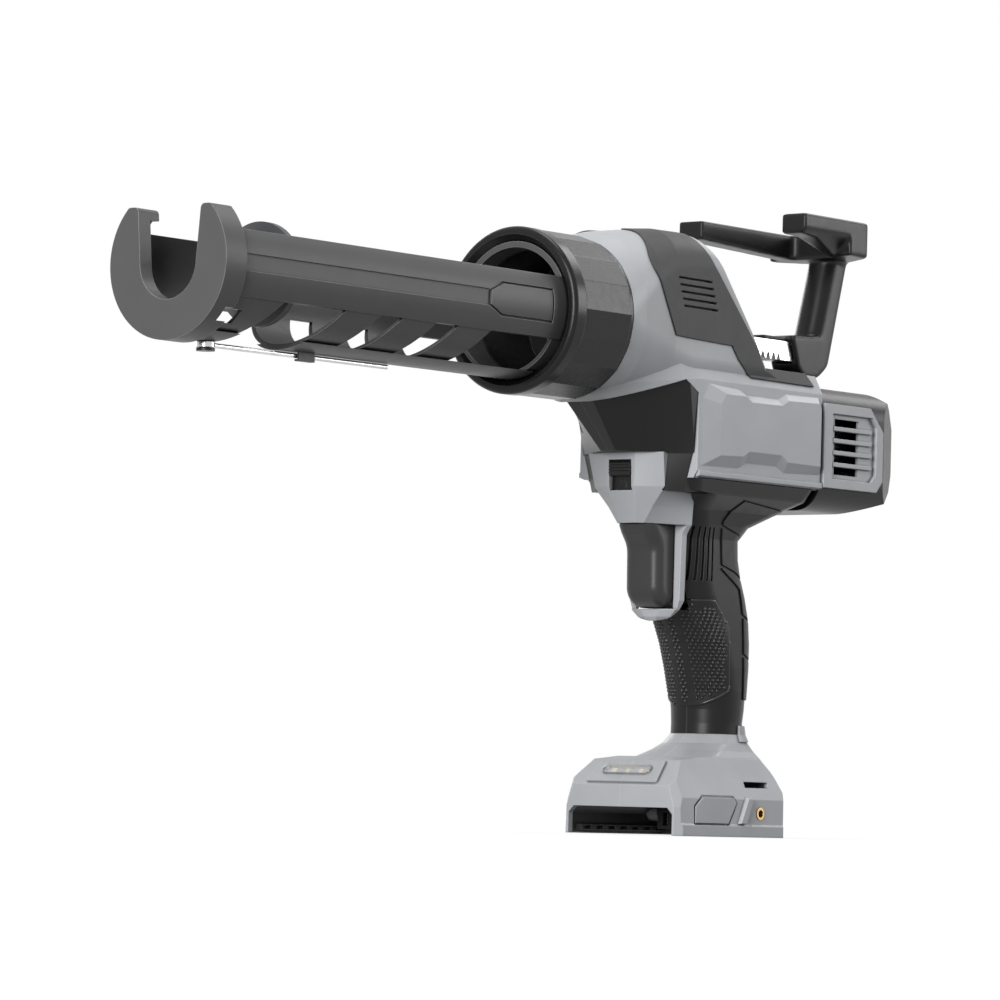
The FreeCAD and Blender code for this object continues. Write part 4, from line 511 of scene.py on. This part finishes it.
# %% Clear lens
def clear_plastic(name):
    """Clear plastic with a slightly uneven gloss and surface."""
    material, tree, shader = new_finish(name)
    normal = rounded_edges(tree, radius_mm=0.3)[0]
    gloss = between(tree, noise(tree, size_mm=2.0), low=0.06, high=0.16)
    waves = grain_bump(tree, noise(tree, size_mm=2.5), depth_mm=0.02, normal=normal)
    feed(tree, shader, rough=gloss, normal=waves)
    shader.inputs["Base Color"].default_value = (0.97, 0.98, 0.99, 1.0)
    shader.inputs["Transmission Weight"].default_value = 0.82
    shader.inputs["IOR"].default_value = 1.49
    return material


lens_plastic = clear_plastic("lens_plastic")
dress(lens_plastic, "led_lens")

# %% [markdown]
# ## Boards and leads
# The control board is green lacquer over copper tracks, which show as faint paler lines, and
# the lamp's board is white. Stretched noise with a hard limit gives the tracks without drawing
# each one. The two battery leads are one red and one black, told apart by the side of the tool
# that they run on.

# %% Boards and leads
TRACK_STRETCH = (1.0, 0.2, 1.0)
TRACK_LIMIT = (0.52, 0.54)
LEAD_RED = (0.36, 0.012, 0.010)
LEAD_BLACK = (0.012, 0.012, 0.013)
LEAD_SCUFF = (0.10, 0.05, 0.05)


def lacquered_board(name, lacquer, tracked):
    """Lacquer over copper tracks, which show through in the second colour."""
    material, tree, shader = new_finish(name)
    tracks = noise(tree, size_mm=3.0, detail=0.0, stretch=TRACK_STRETCH)
    mask = between(tree, tracks, 0.0, 1.0, *TRACK_LIMIT)
    whole = blend_colours(tree, mask, lacquer, tracked)
    gloss = between(tree, mask, low=0.30, high=0.38, start=0.0, end=1.0)
    feed(tree, shader, whole, gloss, grain_bump(tree, mask, depth_mm=0.03))
    return material


def lead_insulation(name):
    """Scuffed insulation, red on one side of the middle plane and black on the other."""
    material, tree, shader = new_finish(name)
    where = tree.nodes.new("ShaderNodeTexCoord")
    parts = tree.nodes.new("ShaderNodeSeparateXYZ")
    tree.links.new(where.outputs["Object"], parts.inputs["Vector"])
    side = between(tree, parts.outputs["Y"], 0.0, 1.0, start=-MM, end=MM)
    plain = blend_colours(tree, side, LEAD_RED, LEAD_BLACK)
    scuffed = between(tree, noise(tree, size_mm=2.0), low=0.0, high=0.35)
    whole = blend_colours(tree, scuffed, plain, LEAD_SCUFF)
    gloss = between(tree, noise(tree, size_mm=1.5), low=0.38, high=0.5)
    feed(tree, shader, whole, gloss)
    return material


board_lacquer = lacquered_board("board_lacquer", (0.010, 0.075, 0.030), (0.030, 0.150, 0.060))
white_lacquer = lacquered_board("white_lacquer", (0.72, 0.72, 0.70), (0.80, 0.79, 0.75))
lead_pvc = lead_insulation("lead_pvc")
dress(board_lacquer, "control_board")
dress(white_lacquer, "led_board")
dress(lead_pvc, "power_leads")

# %% [markdown]
# ## Helpers for the added pieces
# Small details are meshes made from rings of points: each ring is joined to the next by quads
# and the ends are closed. That one form serves studs, plates, beads and screws alike, and
# needs no modifiers. A second helper turns such a mesh into a piece that moves with its body.

# %% Mesh helpers
def add_rings(mesh, rings):
    """Join rings of equally many points into one closed body inside a bmesh."""
    loops = [[mesh.verts.new(point) for point in ring] for ring in rings]
    count = len(loops[0])
    for lower, upper in zip(loops, loops[1:]):
        for i in range(count):
            j = (i + 1) % count
            mesh.faces.new((lower[i], lower[j], upper[j], upper[i]))
    mesh.faces.new(list(reversed(loops[0])))
    mesh.faces.new(loops[-1])


def finish_piece(name, mesh, material, body, smooth=False):
    """Turn a bmesh into an object with its finish and body."""
    bmesh.ops.recalc_face_normals(mesh, faces=mesh.faces)
    data = bpy.data.meshes.new(name)
    mesh.to_mesh(data)
    mesh.free()
    data.materials.append(material)
    if smooth:
        data.shade_smooth()
    piece = bpy.data.objects.new(name, data)
    scene.collection.objects.link(piece)
    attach(piece, body)
    print(name, "has", len(data.vertices), "points and", len(data.polygons), "faces")
    return piece


print("mesh helpers ready")

# %% [markdown]
# ## Outline of the sleeve
# The grip's studs have to follow the sleeve, whose outline changes with height. A grid on a
# plane would spread where the sleeve curves away, so rays are shot at the sleeve from all
# round at one height. Their hits are its outline there, with the length along it.

# %% Outline of the sleeve at one height
OUT = 60.0 * MM          # rays start this far out, clear of the handle
CENTRE_SHIFT = 4.0 * MM  # the rays' centre is this far behind the middle of the sleeve's box
LAST_TURN = 170          # degrees from the front, past the sleeve's rear edge
LEAST_FACING = 0.3       # cosine under which a hit is on an end face, not on the outside
LARGEST_STEP = 2.0 * MM  # a longer step means that the sleeve has ended


def surface_of(*names):
    """A tree for shooting rays at some CAD nodes together."""
    points = []
    faces = []
    for name in names:
        start = len(points)
        data = nodes[name].data
        points += [v.co.copy() for v in data.vertices]
        faces += [tuple(start + i for i in p.vertices) for p in data.polygons]
    return BVHTree.FromPolygons(points, faces)


sleeve = surface_of("grip_sleeve")
sleeve_low, sleeve_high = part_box("grip_sleeve")
sleeve_axis = (sleeve_low + sleeve_high) / 2


def sleeve_outline(z, side):
    """Places, normals and lengths along the sleeve's outside, from its front to one side's end."""
    centre = Vector((sleeve_axis.x + CENTRE_SHIFT, 0, z))
    places = []
    normals = []
    lengths = []
    for step in range(LAST_TURN):
        turn = math.radians(step)
        out = Vector((-math.cos(turn), side * math.sin(turn), 0))
        place, normal = sleeve.ray_cast(centre + out * OUT, -out)[:2]
        if place is None or normal.dot(out) < LEAST_FACING:
            if places:
                break
            continue
        if places and (place - places[-1]).length > LARGEST_STEP:
            break
        lengths.append(lengths[-1] + (place - places[-1]).length if places else 0.0)
        places.append(place)
        normals.append(normal)
    return places, normals, lengths


middle_lengths = sleeve_outline(sleeve_axis.z, -1)[2]
print("the sleeve reaches", round(middle_lengths[-1] / MM, 1), "mm round the left side")

# %% [markdown]
# ## Studs of the grip
# The sleeve carries a field of small raised studs on each side and a narrow one down the
# front, with a plain band between. They could be a bump texture, but then the outline of the
# grip would stay smooth, so each one is a low diamond with sloping sides and a flat top. Steps
# of equal length along the sleeve's outline give their places. A stud is left out where the
# plain edge of its field would be too narrow.

# %% Helpers: one stud, and where studs may stand
STUD_HALF = Vector((1.05, 1.25)) * MM
STUD_TOP = 0.38          # share of the base that is left at the top
STUD_TALL = 0.55 * MM
STUD_SUNK = 0.15 * MM
STUD_RIM = 2.0 * MM      # plain edge round each field
PROBE_OUT = 4.0 * MM     # a probing ray starts this far outside the sleeve
PROBE_REACH = 6.0 * MM
# The frame round a side field as (x, z) in millimetres: along the top, down the rear and back below
FIELD_FRAME = ((-8.0, 99.8), (2.8, 99.8), (12.8, 88.6), (15.3, 62.6), (6.2, 55.6), (-7.0, 55.6))


def axes_on(normal, lengthwise):
    """Two directions in the surface: across, and along the lengthwise one."""
    across = lengthwise.cross(normal).normalized()
    return across, normal.cross(across).normalized()


def add_stud(mesh, place, normal):
    """A low diamond with sloping sides, sunk a little into the surface."""
    across, along = axes_on(normal, Vector((0, 0, 1)))
    corners = (across * STUD_HALF.x, along * STUD_HALF.y, -across * STUD_HALF.x, -along * STUD_HALF.y)
    base = place - normal * STUD_SUNK
    top = place + normal * STUD_TALL
    add_rings(mesh, [[base + c for c in corners], [top + c * STUD_TOP for c in corners]])


def inside_frame(place):
    """True where a place is inside the raised frame by at least the plain edge."""
    for (x, z), (next_x, next_z) in zip(FIELD_FRAME, FIELD_FRAME[1:]):
        edge = Vector((next_x - x, next_z - z)) * MM
        reach = Vector((place.x - x * MM, place.z - z * MM))
        if (edge.y * reach.x - edge.x * reach.y) / edge.length < STUD_RIM:
            return False
    return True


def on_sleeve(place, normal):
    """True where the sleeve goes on for the width of the plain edge above and below a place."""
    for shift in (-STUD_RIM, STUD_RIM):
        start = place + normal * PROBE_OUT + Vector((0, 0, shift))
        if sleeve.ray_cast(start, -normal, PROBE_REACH)[0] is None:
            return False
    return True


print("each stud is", round(2 * STUD_HALF.x / MM, 2), "mm by", round(2 * STUD_HALF.y / MM, 2), "mm")

# %% Grip studs
STUD_PITCH = 2.25 * MM
STUD_ROW = 1.5 * MM
FRONT_FIELD = 1.8 * MM   # half width of the front field, along the outline
SIDE_FIELD = 5.0 * MM    # where the side field starts


def stud_row(mesh, row, side):
    """One row of studs on one side: the narrow front field, then the side field."""
    z = sleeve_low.z + STUD_RIM + row * STUD_ROW
    places, normals, lengths = sleeve_outline(z, side)
    made = 0
    stop = 0.5 * STUD_PITCH * (row % 2)
    for place, normal, length in zip(places, normals, lengths):
        if length < stop:
            continue
        stop += STUD_PITCH
        made_by_other_side = length == 0.0 and side > 0
        in_front = length < FRONT_FIELD
        in_side = SIDE_FIELD < length < lengths[-1] - STUD_RIM and inside_frame(place)
        if (in_front or in_side) and on_sleeve(place, normal) and not made_by_other_side:
            add_stud(mesh, place, normal)
            made += 1
    return made


studs = bmesh.new()
rows = int((sleeve_high.z - sleeve_low.z) / STUD_ROW)
for side in (-1, 1):
    print("studs on side", side, sum(stud_row(studs, row, side) for row in range(rows)))
finish_piece("grip_studs", studs, stud_rubber, "body")

# %% [markdown]
# ## Frame of the grip field
# A low rounded bead runs round the studs on each side. A curve with a round bevel would sink
# in or float where the grip bulges, so the bead is swept over the surface: steps along the
# frame are shot onto the handle from the side, and each step gets a low half round that stands
# on the surface there.

# %% Bead round the studs
BEAD_STEP = 0.8          # millimetres, as the frame's corners are
BEAD_HALF = 0.60 * MM
BEAD_TALL = 0.50 * MM
BEAD_ARC = 6
BEAD_TURNS = [math.pi * k / BEAD_ARC for k in range(BEAD_ARC + 1)]
BEAD_FACING = 0.2        # steps are passed over where the surface turns further from the side
grip_outside = surface_of("grip_sleeve", "left_handle_shell", "right_handle_shell")


def frame_steps(side):
    """Places and normals along the frame on one side of the handle."""
    steps = []
    for (x, z), (next_x, next_z) in zip(FIELD_FRAME, FIELD_FRAME[1:]):
        count = max(1, round(math.hypot(next_x - x, next_z - z) / BEAD_STEP))
        for k in range(count):
            part = k / count
            start = Vector((x + (next_x - x) * part, 0, z + (next_z - z) * part)) * MM
            start.y = side * OUT
            place, normal = grip_outside.ray_cast(start, Vector((0, -side, 0)))[:2]
            if place is not None and side * normal.y > BEAD_FACING:
                steps.append((place, normal))
    return steps


def bead_ring(place, normal, across):
    """A low half round across the bead, closed by a point under the surface."""
    ring = [place + across * BEAD_HALF * math.cos(t) + normal * BEAD_TALL * math.sin(t) for t in BEAD_TURNS]
    return ring + [place - normal * STUD_SUNK]


bead = bmesh.new()
for side in (-1, 1):
    steps = frame_steps(side)
    print("frame on side", side, "in", len(steps), "steps")
    rings = []
    for k, (place, normal) in enumerate(steps):
        forward = steps[min(k + 1, len(steps) - 1)][0] - steps[max(k - 1, 0)][0]
        rings.append(bead_ring(place, normal, forward.cross(normal).normalized()))
    add_rings(bead, rings)
finish_piece("grip_frame", bead, stud_rubber, "body", smooth=True)

# %% [markdown]
# ## Lock recess
# Behind the lock slide the recess has a black floor with a small raised padlock sign. A thin
# plate covers the grey floor of the CAD recess, thin enough for the slide to pass over it. The
# sign could be a texture, but two outlines, a body and a bow, are simpler and catch the light.
# They stand a tenth of a millimetre above the plate.

# %% Where the lock recess is
SIGN_DROP = 3.1 * MM     # from the slide's lower edge to the sign's middle
lock_low, lock_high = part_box("lock_slide")
sign_z = lock_low.z - SIGN_DROP
bezel_faces = surface_of("trigger_bezel")
recess = bezel_faces.ray_cast(Vector((lock_low.x - OUT, 0, sign_z)), Vector((1, 0, 0)))[0]
print("the recess has its floor at x", round(recess.x / MM, 2), "mm")

# %% Floor of the lock recess
LOCK_TRAVEL = 6.0 * MM
PLATE_T = 0.10 * MM
PLATE_PAST = 0.20 * MM   # how far the plate goes past the slide on each side
SIGN_T = 0.20 * MM       # from the floor, so past the plate
SIGN_HALF = 1.7 * MM     # half width of the padlock's body
SIGN_LOW = 2.0 * MM      # the body's lower and upper edge, from the sign's middle
SIGN_HIGH = 0.3 * MM
BOW_R = 1.3 * MM
BOW_WIDE = 0.5 * MM
BOW_LIFT = 0.1 * MM
BOW_STEPS = 10


def oblong(half, low, high):
    """Corners of an upright oblong about the middle plane, as (y, z) points."""
    return [(-half, low), (half, low), (half, high), (-half, high)]


def bow(radius, wide):
    """Outline of the padlock's bow: an outer half circle and back along an inner one."""
    turns = [math.pi * k / BOW_STEPS for k in range(BOW_STEPS + 1)]
    outer = [(radius * math.cos(t), radius * math.sin(t)) for t in turns]
    inner = [((radius - wide) * math.cos(t), (radius - wide) * math.sin(t)) for t in reversed(turns)]
    return [(y, sign_z + BOW_LIFT + z) for y, z in outer + inner]


def add_flat(mesh, points, thick):
    """A flat plate on the floor of the recess from (y, z) points, thick towards the nose."""
    rear = [Vector((recess.x, y, z)) for y, z in points]
    add_rings(mesh, [rear, [p - Vector((thick, 0, 0)) for p in rear]])


lock_floor = bmesh.new()
add_flat(lock_floor, oblong(lock_high.y + PLATE_PAST, lock_low.z - LOCK_TRAVEL, lock_high.z), PLATE_T)
add_flat(lock_floor, oblong(SIGN_HALF, sign_z - SIGN_LOW, sign_z + SIGN_HIGH), SIGN_T)
add_flat(lock_floor, bow(BOW_R, BOW_WIDE), SIGN_T)
finish_piece("lock_floor", lock_floor, black_plastic, "body")

# %% [markdown]
# ## Light-emitting chips
# Three small chips sit on the white board under the clear lens. Seen through it, each is no
# more than a pale yellow spot, so a block of phosphor with slightly sloping sides is enough.
# Rays shot from outside into the sloping front find the board that the chips stand on.

# %% Chips on the lamp board
CHIP_HALF = 1.1 * MM
CHIP_T = 0.5 * MM
CHIP_TOP = 0.9           # share of the base that is left at the top
CHIP_PITCH = 7.0 * MM
CHIP_RAY = 10.0 * MM     # rays start this far outside the board
PHOSPHOR_DARK = (0.78, 0.72, 0.48)
PHOSPHOR_PALE = (0.84, 0.80, 0.60)


def phosphor(name):
    """Pale yellow phosphor with fine cells."""
    material, tree, shader = new_finish(name)
    cells = between(tree, noise(tree, size_mm=0.8), 0.0, 1.0)
    gloss = between(tree, noise(tree, size_mm=1.0), low=0.3, high=0.45)
    feed(tree, shader, blend_colours(tree, cells, PHOSPHOR_DARK, PHOSPHOR_PALE), gloss)
    return material


board_low, board_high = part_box("led_board")
board_face = surface_of("led_board")
board_middle = (board_low + board_high) / 2
into_slope = Vector((1, 0, -1)).normalized()
chips = bmesh.new()
for k in (-1, 0, 1):
    start = Vector((board_middle.x, k * CHIP_PITCH, board_middle.z)) - into_slope * CHIP_RAY
    place, normal = board_face.ray_cast(start, into_slope)[:2]
    across, along = axes_on(normal, Vector((0, 1, 0)))
    corners = [(across * a + along * b) * CHIP_HALF for a, b in SQUARE]
    top = place + normal * CHIP_T
    add_rings(chips, [[place + c for c in corners], [top + c * CHIP_TOP for c in corners]])
finish_piece("lamp_chips", chips, phosphor("phosphor"), "body")

# %% [markdown]
# ## Pull handle
# The bars of the pull handle have generous roundings that the CAD solid leaves out. Bevelling
# its edges one by one fails where many short edges meet, so a copy of the solid is rebuilt from
# small cells and relaxed: flat faces stay in place, and every edge becomes round.

# %% Rounded pull handle
BAR_CELL = 0.5 * MM
BAR_PASSES = 45          # more passes make rounder edges
BAR_PULL = 0.5           # how far one pass moves a point towards its neighbours
BAR_KEPT = 0.3           # share of the faces that is kept in the end


def rounded_copy(node, cell, passes, kept):
    """A bmesh of a CAD node with round edges: rebuilt in cells, relaxed, and thinned to a share."""
    holder = bpy.data.objects.new(node + "_rounding", nodes[node].data.copy())
    scene.collection.objects.link(holder)
    rebuild = holder.modifiers.new("rebuild", "REMESH")
    rebuild.mode = "VOXEL"
    rebuild.voxel_size = cell
    relax = holder.modifiers.new("relax", "SMOOTH")
    relax.factor = BAR_PULL
    relax.iterations = passes
    thin = holder.modifiers.new("thin", "DECIMATE")
    thin.ratio = kept
    solved = holder.evaluated_get(bpy.context.evaluated_depsgraph_get())
    mesh = bmesh.new()
    mesh.from_mesh(solved.to_mesh())
    solved.to_mesh_clear()
    bpy.data.objects.remove(holder)
    return mesh


bars = rounded_copy("pull_handle", BAR_CELL, BAR_PASSES, BAR_KEPT)
rounded_handle = finish_piece("rounded_handle", bars, black_plastic, "rod", smooth=True)
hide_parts("pull_handle")

# %% [markdown]
# ## Housing screws
# The halves are held by screws with a six-lobed recess. The CAD screws have a plain round
# recess, so these stand in for them: rings for the shank, the head with its small chamfer,
# and the lobed recess, whose radius follows a cosine. One CAD node holds all the screws, so
# its loose parts are told apart first, and each one's box gives a screw its place.

# %% Helper: boxes of the loose parts of a mesh
SAME_POINT = 0.001 * MM  # points nearer than this are joined


def islands(mesh):
    """Corner points of each loose part of a mesh, as (lowest, highest) pairs."""
    whole = bmesh.new()
    whole.from_mesh(mesh)
    bmesh.ops.remove_doubles(whole, verts=whole.verts, dist=SAME_POINT)
    unseen = set(whole.verts)
    boxes = []
    while unseen:
        stack = [unseen.pop()]
        points = []
        while stack:
            vertex = stack.pop()
            points.append(vertex.co.copy())
            for edge in vertex.link_edges:
                other = edge.other_vert(vertex)
                if other in unseen:
                    unseen.remove(other)
                    stack.append(other)
        boxes.append((Vector([min(p[k] for p in points) for k in range(3)]),
                      Vector([max(p[k] for p in points) for k in range(3)])))
    whole.free()
    return boxes


screw_boxes = islands(nodes["housing_screws"].data)
print("found", len(screw_boxes), "screws")

# %% Star-drive screws
SCREW_SIDES = 36
HEAD_R = 3.2 * MM
HEAD_T = 2.2 * MM
SHANK_R = 1.5 * MM
TIP_SHARE = 0.5          # the tip's radius as a share of the shank's
CHAMFER = 0.45 * MM
RECESS_DEEP = 1.2 * MM
LOBES = 6
LOBE_R = 1.25 * MM
LOBE_WAVE = 0.28 * MM
LOBE_TAPER = 0.94        # share of the recess's radius that is left at its floor


def screw_ring(centre, y, radius, wave=0.0):
    """One ring of points round a screw's axis, which runs along Y; a wave gives it lobes."""
    ring = []
    for i in range(SCREW_SIDES):
        angle = 2 * math.pi * i / SCREW_SIDES
        r = radius + wave * math.cos(LOBES * angle)
        ring.append(Vector((centre.x + r * math.cos(angle), y, centre.z + r * math.sin(angle))))
    return ring


screws = bmesh.new()
for low, high in screw_boxes:
    middle = (low + high) / 2
    tip = low.y
    top = high.y
    seat = top - HEAD_T
    add_rings(screws, [
        screw_ring(middle, tip, SHANK_R * TIP_SHARE),
        screw_ring(middle, tip + SHANK_R, SHANK_R),
        screw_ring(middle, seat, SHANK_R),
        screw_ring(middle, seat, HEAD_R),
        screw_ring(middle, top - CHAMFER, HEAD_R),
        screw_ring(middle, top, HEAD_R - CHAMFER),
        screw_ring(middle, top, LOBE_R, LOBE_WAVE),
        screw_ring(middle, top - RECESS_DEEP, LOBE_R * LOBE_TAPER, LOBE_WAVE),
    ])
star_screws = finish_piece("star_screws", screws, drawn_steel, "body")
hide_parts("housing_screws")
